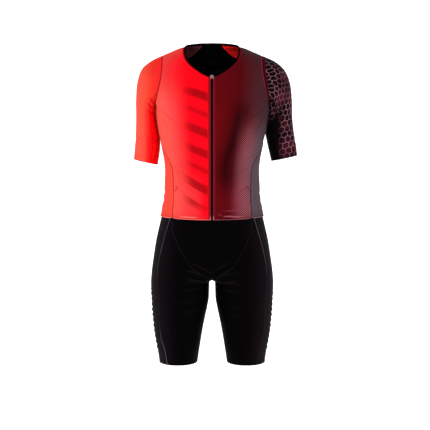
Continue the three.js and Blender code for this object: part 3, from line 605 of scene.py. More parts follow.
def rib_raise(grid, mirrored):
    z = grid.points[:, :1, 2]
    column = np.arange(grid.points.shape[1])[None] / REFINE
    column = LEG_SIDE_COLUMNS - column if mirrored else column
    inside = smooth((RIBS_TOP_Z - z) / RIB_PITCH) * smooth((z - RIBS_BOTTOM_Z) / RIB_PITCH)
    across = np.maximum(np.sin(np.pi * column / LEG_SIDE_COLUMNS), 0) ** RIB_END_POWER
    wave = rounded_wave(z + RIB_SLANT * column, RIB_PITCH)
    cross = rounded_wave(z - CROSS_RIB_SLANT * column, CROSS_RIB_PITCH)
    uneven = 1 + sum(share * np.sin(z / length + start) for share, length, start in RIB_WANDER)
    height = RIB_HEIGHT * uneven * wave**RIB_SHARPNESS + CROSS_RIB_HEIGHT * cross * (1 - wave)
    return inside * across * height


# Creases, placed one by one. Each is a soft trough, or a ridge where its depth is below 0, along a bent
# line of three places seen from one side: front and back give x and z, left and right give y and z.
# A row is the start, the bend, the end, the width and the depth.
CREASES = {
    "front": [
        (-106, -418, -103, -409, -96, -398, 3.6, 1.4), (108, -417, 104, -408, 100, -398, 3.6, 1.4),
        (-160, -186, -167, -166, -181, -146, 5.5, 3.2), (-160, -182, -164, -166, -170, -148, 4.5, 2.4),
        (-161, -190, -170, -178, -190, -161, 5.5, 3.2), (-162, -198, -174, -190, -192, -180, 7.0, 1.8),
        (-158, -272, -161, -304, -172, -342, 4.2, 2.0), (-186, -262, -180, -300, -186, -344, 7.5, 1.5),
        (-100, -489, -60, -486, -12, -493, 3.4, -1.5), (14, -480, 46, -489, 96, -489, 3.4, -1.8),
        (20, -468, 60, -473, 88, -468, 5.0, -0.5), (-159, -46, -163, -68, -162, -92, 3.4, 1.2),
        (-167, -52, -171, -72, -170, -99, 3.8, 1.3), (-175, -60, -180, -80, -179, -103, 4.2, 0.9),
        (163, -183, 173, -163, 188, -149, 4.4, 3.1), (166, -191, 180, -178, 196, -166, 4.2, 2.6),
        (168, -199, 184, -197, 202, -193, 4.8, 2.4), (161, -178, 166, -156, 171, -138, 3.8, 1.9),
        (168, -210, 186, -215, 206, -222, 5.6, 1.9), (160, -48, 165, -70, 165, -95, 3.6, 1.2),
        (169, -54, 175, -76, 173, -104, 4.0, 1.0), (178, -268, 198, -256, 222, -254, 7.0, 1.2),
        (-152, -174, -128, -205, -96, -222, 7.5, 1.4), (-150, -190, -133, -226, -112, -248, 7.0, 1.2),
        (-146, -140, -130, -150, -112, -153, 6.0, 0.9), (152, -172, 130, -200, 99, -214, 7.5, 1.3),
        (150, -192, 136, -228, 118, -256, 7.0, 1.2), (-64, -214, -34, -226, -8, -221, 10.0, 1.0),
        (66, -217, 36, -230, 9, -224, 10.0, 1.0), (-106, -478, -72, -470, -24, -486, 3.6, 1.7),
        (-104, -487, -62, -482, -14, -494, 3.2, 1.3), (-98, -470, -78, -464, -52, -471, 4.0, 1.1),
        (12, -497, 42, -488, 76, -497, 3.2, 1.7), (20, -486, 52, -474, 98, -483, 3.8, 1.5),
        (58, -476, 82, -469, 104, -477, 3.6, 0.9), (-112, -400, -86, -420, -60, -424, 8.0, 0.9),
        (-110, -352, -90, -364, -66, -365, 9.0, 0.7), (111, -396, 88, -416, 64, -422, 8.0, 0.9),
        (108, -348, 88, -362, 60, -366, 9.0, 0.7), (-10, -136, -24, -141, -40, -139, 5.0, 0.8),
        (10, -158, 25, -163, 43, -160, 5.0, 0.8), (-10, -262, -22, -268, -35, -266, 5.0, 0.8),
        (10, -312, 24, -318, 40, -314, 5.5, 0.8), (-10, -396, -23, -402, -38, -399, 5.0, 0.8),
        (10, -428, 22, -435, 36, -432, 5.0, 0.8), (-4, -663, -30, -642, -66, -628, 6.5, 1.9),
        (-8, -671, -42, -658, -84, -652, 7.0, 1.7), (-12, -684, -46, -682, -92, -690, 7.5, 1.4),
        (4, -660, 28, -638, 60, -622, 6.5, 1.7), (9, -672, 44, -662, 88, -660, 7.0, 1.6),
        (13, -686, 50, -688, 98, -699, 7.5, 1.3), (-34, -742, -66, -752, -104, -750, 9.0, 1.2),
        (38, -758, 70, -766, 106, -762, 9.0, 1.0), (-120, -545, -96, -566, -74, -570, 9.0, 0.9),
        (118, -548, 92, -570, 68, -572, 9.0, 0.9),
    ],
    "back": [
        (-96, -396, -20, -410, 78, -398, 8.0, 2.5), (-84, -420, 4, -431, 92, -424, 7.5, 2.0),
        (-58, -374, 8, -384, 64, -377, 8.5, 1.6), (-98, -448, -40, -455, 26, -450, 6.5, 1.3),
        (150, -168, 118, -206, 72, -226, 8.0, 1.9), (-150, -166, -122, -200, -78, -232, 8.0, 1.7),
        (148, -196, 124, -240, 92, -272, 8.0, 1.4), (-148, -192, -126, -244, -88, -268, 8.0, 1.6),
        (-30, -44, 2, -62, 36, -46, 9.0, 1.2), (-22, -660, -62, -694, -118, -704, 8.5, 2.5),
        (22, -662, 60, -700, 122, -708, 8.5, 2.3), (-16, -676, -50, -716, -104, -732, 8.0, 1.7),
        (15, -678, 52, -720, 108, -738, 8.0, 1.7), (-5, -540, -9, -590, -5, -640, 7.0, 1.4),
        (-52, -800, -92, -812, -132, -806, 9.0, 1.2), (52, -792, 94, -806, 134, -800, 9.0, 1.2),
        (-166, -190, -184, -176, -206, -168, 5.0, 2.3), (-168, -206, -188, -204, -212, -206, 5.5, 1.9),
        (166, -192, 186, -180, 209, -170, 5.0, 2.3), (168, -208, 190, -208, 215, -214, 5.5, 1.7),
    ],
    "left": [
        (-40, -262, -4, -280, 40, -268, 9.0, 1.4), (-36, -420, 2, -432, 38, -420, 8.0, 1.6),
        (-34, -446, 4, -458, 40, -447, 7.0, 1.2),
    ],
    "right": [
        (-38, -258, 2, -276, 38, -264, 9.0, 1.3), (-40, -414, -2, -428, 36, -418, 8.0, 1.7),
        (-36, -442, 0, -452, 38, -444, 7.0, 1.2),
    ],
}

# For each view, the axis across it and the direction that faces it
VIEWS = {
    "front": (0, (0, -1, 0)), "back": (0, (0, 1, 0)), "left": (1, (1, 0, 0)), "right": (1, (-1, 0, 0)),
}
LINE_POINTS = 25
CREASE_REACH = 3
CREASE_FACING = 0.05
CREASE_FULLY_FACING = 0.5
CREASE_ENDS = (0.02, 0.98)
CREASE_TAPER = 0.6
CREASE_BANKS = 0.8


def crease_depth(grid):
    """How far in the creases take each point of a grid."""
    depth = np.zeros(grid.points.shape[:2])
    share = np.linspace(0, 1, LINE_POINTS)[:, None]
    for view, creases in CREASES.items():
        axis, facing = VIEWS[view]
        place = grid.points[..., [axis, 2]]
        toward = grid.normals @ np.array(facing)
        for *places, width, most in creases:
            start, bend, end = np.reshape(places, (3, 2))
            line = (1 - share) ** 2 * start + 2 * share * (1 - share) * bend + share**2 * end
            reach = CREASE_REACH * width
            near = np.all((place > line.min(0) - reach) & (place < line.max(0) + reach), -1)
            near &= toward > CREASE_FACING
            if not near.any():
                continue
            gaps = np.linalg.norm(place[near][:, None] - line[None], axis=-1)
            closest = gaps.argmin(1)
            gap = gaps[np.arange(len(gaps)), closest] / width
            taper = np.sin(np.pi * np.clip(closest / (LINE_POINTS - 1), *CREASE_ENDS)) ** CREASE_TAPER
            turned = smooth(toward[near] / CREASE_FULLY_FACING)
            depth[near] += most * taper * turned * (1 - CREASE_BANKS * gap**2) * np.exp(-(gap**2))
    return depth


SEAM_DIP = 0.5
SEAM_DIP_WIDTH = 2.4
PUCKER = 0.22
PUCKER_PITCH = 7.6
PUCKER_REACH = 5
PUCKER_WANDER = 1.9
PUCKER_WANDER_LENGTH = 23


def seam_relief(grid, edges):
    """The dip and fine puckers beside each sewn edge: l, r, b and t are left, right, bottom and top."""
    left, right, bottom, top = grid.distances()
    beside = {"l": (left, bottom), "r": (right, bottom), "b": (bottom, left), "t": (top, left)}
    relief = np.zeros(left.shape)
    for edge in edges:
        distance, along = beside[edge]
        swell = distance / PUCKER_REACH * np.exp(1 - distance / PUCKER_REACH)
        phase = 2 * np.pi * along / PUCKER_PITCH + PUCKER_WANDER * np.sin(along / PUCKER_WANDER_LENGTH)
        relief += PUCKER * swell * np.sin(phase) - SEAM_DIP * bell(distance, SEAM_DIP_WIDTH)
    return relief


HEM_BEAD = 0.35
HEM_BEAD_WIDTH = 1.5
HEM_STITCH_LEVELS = (12, 15)
HEM_STITCH_DIP = 0.3
HEM_STITCH_DIP_WIDTH = 1.3


def hem_relief(grid):
    """A rolled lower edge, and two sewn lines a little above it."""
    bottom = grid.distances()[2]
    relief = HEM_BEAD * bell(bottom, HEM_BEAD_WIDTH)
    for level in HEM_STITCH_LEVELS:
        relief -= HEM_STITCH_DIP * bell(bottom - level, HEM_STITCH_DIP_WIDTH)
    return relief


# Meshes
def new_object(name, data):
    """A new object in the scene."""
    made = bpy.data.objects.new(name, data)
    bpy.context.scene.collection.objects.link(made)
    return made


class Shape:
    """Points, faces and cloth coordinates gathered from several parts."""

    def __init__(self):
        self.points, self.faces, self.flat, self.count = [], [], [], 0

    def add(self, points, faces, flat=None):
        points = np.asarray(points, float).reshape(-1, 3)
        self.points.append(points)
        self.faces.extend([tuple(int(i) + self.count for i in face) for face in faces])
        self.flat.append(points[:, [0, 2]] if flat is None else np.asarray(flat, float).reshape(-1, 2))
        self.count += len(points)

    def to_object(self, name, finish, marks=None, sharp=40):
        mesh = bpy.data.meshes.new(name)
        mesh.from_pydata((np.concatenate(self.points) * MM).tolist(), [], self.faces)
        corners = np.empty(len(mesh.loops), np.int32)
        mesh.loops.foreach_get("vertex_index", corners)
        flat = (np.concatenate(self.flat) * MM)[corners]
        mesh.uv_layers.new(name="cloth").data.foreach_set("uv", flat.astype(np.float32).ravel())
        for mark, values in (marks or {}).items():
            attribute = mesh.attributes.new(mark, "FLOAT", "POINT")
            attribute.data.foreach_set("value", np.asarray(values, np.float32).ravel())
        mesh.shade_smooth()
        mesh.set_sharp_from_angle(angle=math.radians(sharp))
        mesh.materials.append(finish)
        piece = new_object(name, mesh)
        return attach(piece, "suit")


def laid_flat(across, along):
    """Cloth coordinates from distances across and along."""
    return np.stack(np.broadcast_arrays(across, along), -1).reshape(-1, 2)


def grid_faces(rows, columns):
    a = (np.arange(rows - 1)[:, None] * columns + np.arange(columns - 1)[None]).ravel()
    return np.stack([a, a + 1, a + columns + 1, a + columns], -1)


def wall(shape, grid, inner, outer, flat):
    """A closed wall over a grid, from inner to outer along its normals."""
    rows, columns = grid.points.shape[:2]
    layer = rows * columns
    faces = grid_faces(rows, columns)
    ring = np.concatenate([
        np.arange(columns), (np.arange(1, rows) + 1) * columns - 1,
        layer - 2 - np.arange(columns - 1), np.arange(rows - 2, 0, -1) * columns,
    ])
    after = np.roll(ring, -1)
    rim = np.stack([ring, after, after + layer, ring + layer], -1)
    both = np.concatenate([grid.moved(out).points.reshape(-1, 3) for out in (inner, outer)])
    shape.add(both, np.concatenate([faces[:, ::-1], faces + layer, rim]), np.concatenate([flat, flat]))


def flat_coordinates(grid, middle, level):
    """Distances along the cloth, across from a share of its width and up from a level.

    Without a level the height itself serves, which keeps the knit's rows level.
    """
    left, _, up, _ = grid.distances()
    z = grid.points[..., 2]
    start = left[:, [int(round(middle * (left.shape[1] - 1)))]]
    if level is not None:
        at_level = [np.interp(level, z[:, i], up[:, i]) for i in range(z.shape[1])]
        z = up - np.array(at_level) + level
    return laid_flat(left - start, z)


def cloth_area(grid):
    a = np.diff(grid.points, axis=1)[:-1]
    b = np.diff(grid.points, axis=0)[:, :-1]
    return float(np.linalg.norm(np.cross(a, b), axis=-1).sum())


def cut_size(grid):
    """Width, length and area of the flat cut, in metres."""
    left, _, bottom, _ = grid.distances()
    width, length = left[:, -1].max() * MM, bottom[-1].max() * MM
    return (width, length), min(cloth_area(grid) * MM * MM, width * length)


NOTCH_HEIGHT = 4.5
NOTCH_WIDTH = 4
NOTCH_REACH = 13.5
HEM_CURVE = 3.2
HEM_CURVE_REACH = 28


def notch_hem(grid, edges):
    """Draws the hem up towards the sides, and more where it meets a seam that pulls it."""
    left, right, bottom, _ = grid.distances()
    if edges:
        share = np.abs(grid.points[..., 0]) / BODY.read("half", grid.points[..., 2])
        grid.points[..., 2] += HEM_CURVE * share**2 * bell(bottom, HEM_CURVE_REACH)
    for edge, distance in (("l", left), ("r", right)):
        if edge in edges:
            pull = np.exp(-distance / NOTCH_WIDTH - bottom / NOTCH_REACH)
            grid.points[..., 2] += NOTCH_HEIGHT * pull


# The outer face of each cloth piece, by node
skins = {}


def cloth_piece(node, grid, finish, slot, *, middle=0.5, level=None, raised=0, sewn="lrbt", hemmed=False,
                notched=""):
    """A cloth shell on its solid's form, with its creases, seams and hem, in place of the solid."""
    creases = crease_depth(grid)
    relief = seam_relief(grid, sewn) - creases
    if hemmed:
        relief = relief + hem_relief(grid)
    flat = flat_coordinates(grid, middle, level)
    shape = Shape()
    face = grid.stood_back().moved(relief)
    notch_hem(face, notched)
    wall(shape, face, 0, CLOTH + raised, flat)
    skins[node] = face.moved(CLOTH + raised)
    marks = {
        "across": np.abs(grid.points[..., 0]) / BODY.read("half", grid.points[..., 2]),
        "rise": grid.distances()[2] * MM,
        "drop": grid.distances()[3] * MM,
        "outward": np.abs(grid.points[..., 0]) * MM,
        "height": grid.points[..., 2] * MM,
        "fold": creases,
    }
    piece = shape.to_object(node + "_cloth", finish, {k: np.tile(v.ravel(), 2) for k, v in marks.items()})
    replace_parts(piece, node)
    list(cut_size(grid))


# Lines on the cloth, and what is sewn along them
class Line:
    """A line on the cloth's outer face, with the face's normals."""

    def __init__(self, points, normals):
        self.points = points
        self.normals = normals
        self.along = along_line(points)

    def at(self, distances):
        points, normals = (read_at(distances, self.along, values) for values in (self.points, self.normals))
        return Line(points, unit(normals))

    def every(self, pitch):
        return self.at(np.linspace(0, self.along[-1], max(2, int(self.along[-1] / pitch) + 1)))

    def forward(self):
        return unit(np.gradient(self.points, axis=0))

    def beside(self):
        """The direction to the line's side, along the cloth."""
        return unit(np.cross(self.forward(), self.normals))

    def moved(self, aside=0.0, out=0.0):
        aside = np.broadcast_to(aside, len(self.points))[:, None]
        out = np.broadcast_to(out, len(self.points))[:, None]
        return Line(self.points + self.beside() * aside + self.normals * out, self.normals)

    def turned_round(self):
        return Line(self.points[::-1], self.normals[::-1])

    def then(self, other):
        points = np.concatenate([self.points, other.points])
        return Line(points, np.concatenate([self.normals, other.normals]))


def skin_column(node, column, start=0, end=None):
    return skins[node].line(np.s_[start:end, column])


def inner_line(node, edge, distance):
    """The line on a piece's outer face that keeps a distance from its edge l, r, b or t."""
    grid = skins[node]
    points, normals = grid.points, grid.normals
    gaps = dict(zip("lrbt", grid.distances()))[edge]
    if edge in "bt":
        points, normals, gaps = points.swapaxes(0, 1), normals.swapaxes(0, 1), gaps.T
    if edge in "rt":
        points, normals, gaps = points[:, ::-1], normals[:, ::-1], gaps[:, ::-1]
    rows = [[read_at(distance, gap, row) for gap, row in zip(gaps, values)] for values in (points, normals)]
    return Line(np.array(rows[0]), unit(np.array(rows[1])))


def tube_faces(rings, sides):
    """The faces round a tube of rings, and one that closes each end."""
    first = np.arange(rings - 1)[:, None] * sides + np.arange(sides)
    second = np.arange(rings - 1)[:, None] * sides + (np.arange(sides) + 1) % sides
    faces = np.stack([first, second, second + sides, first + sides], -1).reshape(-1, 4)
    return faces.tolist() + [range(sides - 1, -1, -1), range((rings - 1) * sides, rings * sides)]


THREAD = 0.2
THREAD_SIDES = 4
THREAD_TURN_LENGTH = 0.3


def tube(shape, line, radius):
    """A round thread along a line, closed at both ends."""
    forward = line.forward()
    out = unit(line.normals - forward * np.sum(line.normals * forward, -1, keepdims=True))
    aside = np.cross(forward, out)
    turn = (np.arange(THREAD_SIDES) + 0.5) * 2 * np.pi / THREAD_SIDES
    ring = np.cos(turn)[None, :, None] * out[:, None] + np.sin(turn)[None, :, None] * aside[:, None]
    flat = laid_flat(line.along[:, None], turn[None] * THREAD_TURN_LENGTH)
    shape.add(line.points[:, None] + ring * radius, tube_faces(len(line.points), THREAD_SIDES), flat)


BAND_INSIDE = -0.35
BAND_ROUNDING = 0.75


def band(shape, line, width, height, columns=5):
    """A flat strip along a line, rounded across."""
    across = np.linspace(-1, 1, columns)
    points = line.points[:, None] + line.beside()[:, None] * (across * width / 2)[None, :, None]
    grid = Grid(points, np.repeat(line.normals[:, None], columns, 1))
    flat = laid_flat(across[None] * width / 2, line.along[:, None])
    wall(shape, grid, BAND_INSIDE, height * (1 - BAND_ROUNDING * across**4), flat)


STITCH = 2.6
STITCH_RISE = 0.34
STITCH_INSIDE = 0.1


def sewn_row(shape, line):
    """A row of stitches, each a low bump that dives in at both ends."""
    fine = line.every(STITCH / 4)
    phase = np.pi * np.linspace(0, fine.along[-1], len(fine.points)) / STITCH
    tube(shape, fine.moved(out=STITCH_RISE * np.abs(np.sin(phase)) - STITCH_INSIDE), THREAD)


SEAM_BAND_HEIGHT = 0.22
ZIGZAG_INSET = 0.45
ZIGZAG_HEIGHT = 0.3
SEAM_ROW_INSET = 0.2
SEAM_ROW_HEIGHT = 0.12


def flat_seam(shape, line, width, aside):
    """A flat sewn seam: a soft band, a zigzag thread over it and a row of stitches at each side."""
    even = line.every(STITCH / 2).moved(aside=aside)
    band(shape, even, width, SEAM_BAND_HEIGHT)
    swing = (width / 2 - ZIGZAG_INSET) * np.where(np.arange(len(even.points)) % 2, 1, -1)
    tube(shape, even.moved(aside=swing, out=ZIGZAG_HEIGHT), THREAD)
    for side in (-1, 1):
        sewn_row(shape, even.moved(aside=side * (width / 2 - SEAM_ROW_INSET), out=SEAM_ROW_HEIGHT))


# Finishes
def rgb(code):
    """A colour from its usual six digits, as the light values that shaders take."""
    parts = [int(code[i : i + 2], 16) / 255 for i in (0, 2, 4)]
    return tuple(p / 12.92 if p <= 0.04045 else ((p + 0.055) / 1.055) ** 2.4 for p in parts) + (1.0,)


def plain(value):
    """What a shader input takes for a number, or for a colour given by its digits."""
    return rgb(value) if isinstance(value, str) else value


def math_method(operation, turned=False):
    """A method that adds a Math node of a value and any other, in this order or turned round."""
    def method(self, *others):
        values = (self, *others)
        return self.math(operation, *(values[::-1] if turned else values))

    return method


class Value:
    """A socket of a finish. Python's operators on it add Math nodes."""

    def __init__(self, finish, socket):
        self.finish = finish
        self.socket = socket

    def math(self, operation, *values):
        return self.finish.add("ShaderNodeMath", {"operation": operation}, dict(enumerate(values)))

    __add__ = math_method("ADD")
    __radd__ = math_method("ADD", turned=True)
    __sub__ = math_method("SUBTRACT")
    __rsub__ = math_method("SUBTRACT", turned=True)
    __mul__ = math_method("MULTIPLY")
    __rmul__ = math_method("MULTIPLY", turned=True)
    __truediv__ = math_method("DIVIDE")
    __pow__ = math_method("POWER")
    __abs__ = math_method("ABSOLUTE")
    __lt__ = math_method("LESS_THAN")
    fraction = math_method("FRACT")
    sine = math_method("SINE")
    least = math_method("MINIMUM")
    most = math_method("MAXIMUM")

    def waves(self, pitch):
        return (self * (2 * math.pi / pitch)).sine()

    def between(self, low, high):
        """0 below low and 1 above high, with a smooth rise; low may be the higher one."""
        settings = {"interpolation_type": "SMOOTHSTEP"}
        inputs = {"Value": self, "From Min": low, "From Max": high}
        return self.finish.add("ShaderNodeMapRange", settings, inputs)


class Finish:
    """A material: its constants go on the shader, and what varies is built from nodes."""

    def __init__(self, name, **constants):
        self.material = bpy.data.materials.new(name)
        self.material.use_nodes = True
        self.tree = self.material.node_tree
        self.shader = self.tree.nodes["Principled BSDF"]
        for socket, value in constants.items():
            self.shader.inputs[socket.replace("_", " ")].default_value = plain(value)

    def add(self, kind, settings=None, inputs=None, output=0):
        node = self.tree.nodes.new(kind)
        for name, value in (settings or {}).items():
            if name == "stops":
                self.set_stops(node.color_ramp, value)
            else:
                setattr(node, name, value)
        for key, value in (inputs or {}).items():
            if isinstance(value, Value):
                self.tree.links.new(value.socket, node.inputs[key])
            else:
                node.inputs[key].default_value = plain(value)
        return Value(self, node.outputs[output])

    def set_stops(self, ramp, stops):
        while len(ramp.elements) < len(stops):
            ramp.elements.new(1)
        for element, (position, colour) in zip(ramp.elements, stops):
            element.position = position
            element.color = plain(colour)

    def feed(self, **values):
        """Feeds the shader with values, and gives the material."""
        for socket, value in values.items():
            self.tree.links.new(value.socket, self.shader.inputs[socket.replace("_", " ")])
        return self.material

    def mark(self, name):
        return self.add("ShaderNodeAttribute", {"attribute_name": name}, output="Fac")

    def cloth_place(self):
        """The two cloth coordinates, in metres."""
        place = self.add("ShaderNodeUVMap", {"uv_map": "cloth"})
        parts = self.tree.nodes.new("ShaderNodeSeparateXYZ")
        self.tree.links.new(place.socket, parts.inputs[0])
        return Value(self, parts.outputs[0]), Value(self, parts.outputs[1])

    def mix(self, share, a, b):
        inputs = {"Factor": share, 6: a, 7: b}
        return self.add("ShaderNodeMix", {"data_type": "RGBA"}, inputs, output=2)

    def over(self, base, *coats):
        """A base under coats, each given by its share and its colour."""
        for share, colour in coats:
            base = self.mix(share, base, colour)
        return base

    def ramp(self, share, *stops):
        return self.add("ShaderNodeValToRGB", {"stops": stops}, {0: share})

    def height(self):
        place = self.add("ShaderNodeTexCoord", output="Object")
        return self.add("ShaderNodeSeparateXYZ", {}, {0: place}, output="Z")

    def noise(self, scale, detail=2.0):
        place = self.add("ShaderNodeTexCoord", output="Object")
        return self.add("ShaderNodeTexNoise", {}, {"Vector": place, "Scale": scale, "Detail": detail})

    def bump(self, height, distance, strength):
        inputs = {"Height": height, "Distance": distance, "Strength": strength}
        return self.add("ShaderNodeBump", {}, inputs)


def eyelets(u, v, pitch, radius):
    """1 in each small hole of a lattice of diagonal rows, and 0 between them."""
    def hole(offset):
        x = (u / pitch + offset).fraction() - 0.5
        y = (v / pitch + offset).fraction() - 0.5
        return abs(x) + abs(y) * 0.8

    nearest = hole(0.0).least(hole(0.5))
    return nearest.between(radius + 0.09, radius - 0.05)


KNIT_WALE = 0.0011
KNIT_COURSE = 0.0009


def knit(u, v):
    """Height of fine knitted loops."""
    return u.waves(KNIT_WALE) * v.waves(KNIT_COURSE)


def hexagon_net(u, v, width):
    """Distance from the nearest line of a net of hexagons, 0 on the line and 0.5 in a middle."""
    tall = math.sqrt(3)
    x, y = u / width, v / width

    def cell(offset):
        ax = abs((x + offset).fraction() - 0.5)
        ay = abs((y / tall + offset).fraction() - 0.5) * tall
        return ax, ay

    (ax, ay), (bx, by) = cell(0.0), cell(0.5)
    nearer = (ax * ax + ay * ay) < (bx * bx + by * by)
    gx = bx + nearer * (ax - bx)
    gy = by + nearer * (ay - by)
    return 0.5 - gx.most(gx * 0.5 + gy * (tall / 2))


CLOTH_SHADER = {
    "Roughness": 0.78, "Specular_IOR_Level": 0.02, "Sheen_Weight": 0.012, "Sheen_Roughness": 0.5,
}
EYELET_PITCH = 0.0062
EYELET_RADIUS = 0.26


def finish_cloth(finish, base, relief, u, v, shade, light, rough=0.78):
    """Feeds a cloth's colour, with painted shade in its folds, painted highlight on its ridges and a little
    cloudiness; its roughness; and its knit.
    """
    fold = finish.mark("fold")
    cloudy = finish.noise(9.0)
    colour = finish.over(
        base,
        # Painted shade in the folds, then painted highlight on the ridges
        (fold.between(0.15, 2.6) * 0.6, shade),
        (fold.between(-0.1, -1.4) * 0.7, light),
        (cloudy.between(0.3, 0.75) * 0.1, "000000"),
    )
    roughness = rough - 0.08 * cloudy
    height = knit(u, v) * 0.12 + relief
    return finish.feed(Base_Color=colour, Roughness=roughness, Normal=finish.bump(height, 0.0004, 0.55))


BAR_SLANT = 0.4
BAR_PITCH = 0.054


def soft_bars(u, v):
    """Plain slanting bars beside the zip, of several widths, which fade outwards and at both ends."""
    slant = (v + u * BAR_SLANT) / BAR_PITCH
    bars = slant.waves(1) + (slant * 4.1 + 1.3).sine() * 0.5
    side = abs(u)
    reach = side.between(0.003, 0.009) * side.between(0.088, 0.040) ** 0.6
    return bars.between(-0.4, 0.95) * reach * v.between(-0.098, -0.130) * v.between(-0.488, -0.440)


def hem_edge(finish, base, shade, pale):
    """The turned hem: a band of painted shade above it and a paler edge."""
    rise = finish.mark("rise")
    return finish.over(
        base, (rise.between(0.013, 0.003) * 0.5, shade), (rise.between(0.0020, 0.0010) * 0.8, pale),
    )


def red_mesh(panel):
    finish = Finish(f"red_mesh_{panel}", **CLOTH_SHADER, Sheen_Tint="ff9a86")
    u, v = finish.cloth_place()
    holes = eyelets(u, v, EYELET_PITCH, EYELET_RADIUS)
    if panel == "front":
        across = finish.mark("across")
        high = finish.ramp(
            across, (0.0, "e80414"), (0.3, "f80418"), (0.54, "f2081a"),
            (0.68, "de1a24"), (0.84, "de322a"), (1.0, "dc3c2e"),
        )
        low = finish.ramp(
            across, (0.0, "e40616"), (0.16, "f20c1a"), (0.34, "ec3036"),
            (0.6, "e83636"), (1.0, "dc342a"),
        )
        lit = across.between(0.36, 0.84) * (1.0 - v.between(-0.15, -0.06) * 0.6)
        base = finish.over(
            finish.mix(v.between(-0.35, -0.45), high, low),
            (soft_bars(u, v) * 0.85, "8a040a"),
            (holes * (1.0 - lit) * 0.4, "98000c"),
            ((1.0 - holes) * lit * 0.45, "c0141c"),
            (holes * lit * 0.34, "ffa090"),
            # Painted shade of the folded edge beside the zip
            (abs(u).between(0.0050, 0.0030), "840406"),
        )
        base = hem_edge(finish, base, "b00a1c", "e8766e")
    elif panel == "side":
        base = finish.mix(holes * 0.3, "dc3024", "ff8c78")
        base = hem_edge(finish, base, "c0202a", "f0887c")
    elif panel == "yoke":
        base = finish.mix(holes * 0.16, "ff0a14", "ff7466")
    else:
        outward = finish.mark("outward")
        low = finish.ramp(
            outward.between(0.162, 0.212), (0.0, "fa000a"), (0.3, "f2040c"), (0.55, "e81614"),
            (0.8, "e03020"), (1.0, "dc3626"),
        )
        high = finish.ramp(outward.between(0.140, 0.196), (0.0, "e02022"), (1.0, "dc3626"))
        base = finish.over(
            finish.mix(finish.mark("height").between(-0.200, -0.135), low, high),
            (holes * outward.between(0.170, 0.212) * 0.24, "ffa892"),
            # Painted shadow of the fold at the cuff's edge
            (finish.mark("rise").between(0.0030, 0.0014), "94080c"),
        )
    # The last two colours are the painted shade in folds and the painted highlight on ridges
    return finish_cloth(finish, base, holes * -0.5, u, v, "a40008", "ffa49a")


def wine_mesh(panel):
    finish = Finish(f"wine_mesh_{panel}", **CLOTH_SHADER, Sheen_Tint="b08a90")
    u, v = finish.cloth_place()
    holes = eyelets(u, v, EYELET_PITCH, EYELET_RADIUS)
    if panel == "front":
        across = finish.mark("across")
        high = finish.ramp(
            across, (0.0, "68060d"), (0.45, "56060c"), (0.7, "4a2026"), (1.0, "3e292e"),
        )
        # The dark band across the middle rows is partly the print and partly painted shade on the chest
        middle = finish.ramp(
            across + v.between(-0.20, -0.36) * 0.2 - 0.11,
            (0.0, "6c0509"), (0.2, "540408"), (0.36, "280104"),
            (0.50, "46060e"), (0.64, "54222c"), (0.78, "4a2e36"), (1.0, "42343c"),
        )
        low = finish.ramp(
            across, (0.0, "6c060c"), (0.3, "600610"), (0.5, "6a1826"),
            (0.75, "54323c"), (1.0, "46343b"),
        )
        pale = (across + v.between(-0.36, -0.46) * 0.07).between(0.40, 0.70) * v.between(-0.18, -0.31)
        base = finish.over(
            finish.mix(v.between(-0.22, -0.12), middle, high),
            (v.between(-0.36, -0.46), low),
            (holes * (1.0 - pale) * 0.75, "180003"),
            ((1.0 - holes) * pale * 0.5, "2a0812"),
            (holes * pale * 0.8, finish.mix(across.between(0.92, 0.68), "76646e", "ac5c66")),
            # Painted shade of the folded edge beside the zip
            (abs(u).between(0.0050, 0.0030), "680410"),
        )
        base = hem_edge(finish, base, "3c0408", "94505a")
    elif panel == "side":
        base = finish.mix(holes * 0.5, "362830", "84707a")
        base = hem_edge(finish, base, "2c1c24", "987078")
    else:
        base = finish.mix(holes * 0.4, "4a1420", "8c5860")
    # The last two colours are the painted shade in folds and the painted highlight on ridges
    return finish_cloth(finish, base, holes * -0.5, u, v, "1c0408", "b0606c")


NET_WIDTH = 0.0182
NET_WAVER = 0.012


def hexagon_print():
    finish = Finish("hexagon_print", **CLOTH_SHADER, Sheen_Tint="8a7078")
    u, v = finish.cloth_place()
    aside = finish.noise(42.0) - 0.5
    along = finish.noise(57.0) - 0.5
    line = hexagon_net(u + aside * NET_WAVER, v + along * NET_WAVER, NET_WIDTH)
    outward = finish.mark("outward")
    drop = finish.mark("drop")
    shown = (outward + drop.between(0.11, 0.0) * 0.07).between(0.188, 0.214)
    cells = finish.ramp(
        finish.noise(30.0).between(0.38, 0.62), (0.0, "0e0407"), (0.5, "230811"), (1.0, "360e1a"),
    )
    base = finish.mix(shown, "050203", finish.mix(drop.between(0.05, 0.02), cells, "080405"))
    tone = finish.mix(finish.noise(16.0).between(0.4, 0.6), "6c4850", "90646c")
    strip = drop.between(0.0105, 0.0080) * outward.between(0.138, 0.142)
    base = finish.over(base, (line.between(0.058, 0.016) * shown * 0.95, tone), (strip, "3a0410"))
    relief = line.between(0.08, 0.03) * shown * 0.3
    # The last two colours are the painted shade in folds and the painted highlight on ridges
    return finish_cloth(finish, base, relief, u, v, "000000", "5c3a42")


BLACK_SHADER = {
    "Roughness": 0.6, "Specular_IOR_Level": 0.02, "Sheen_Weight": 0.004, "Sheen_Roughness": 0.4,
}
SKEW_KNIT_PITCH = 0.0034


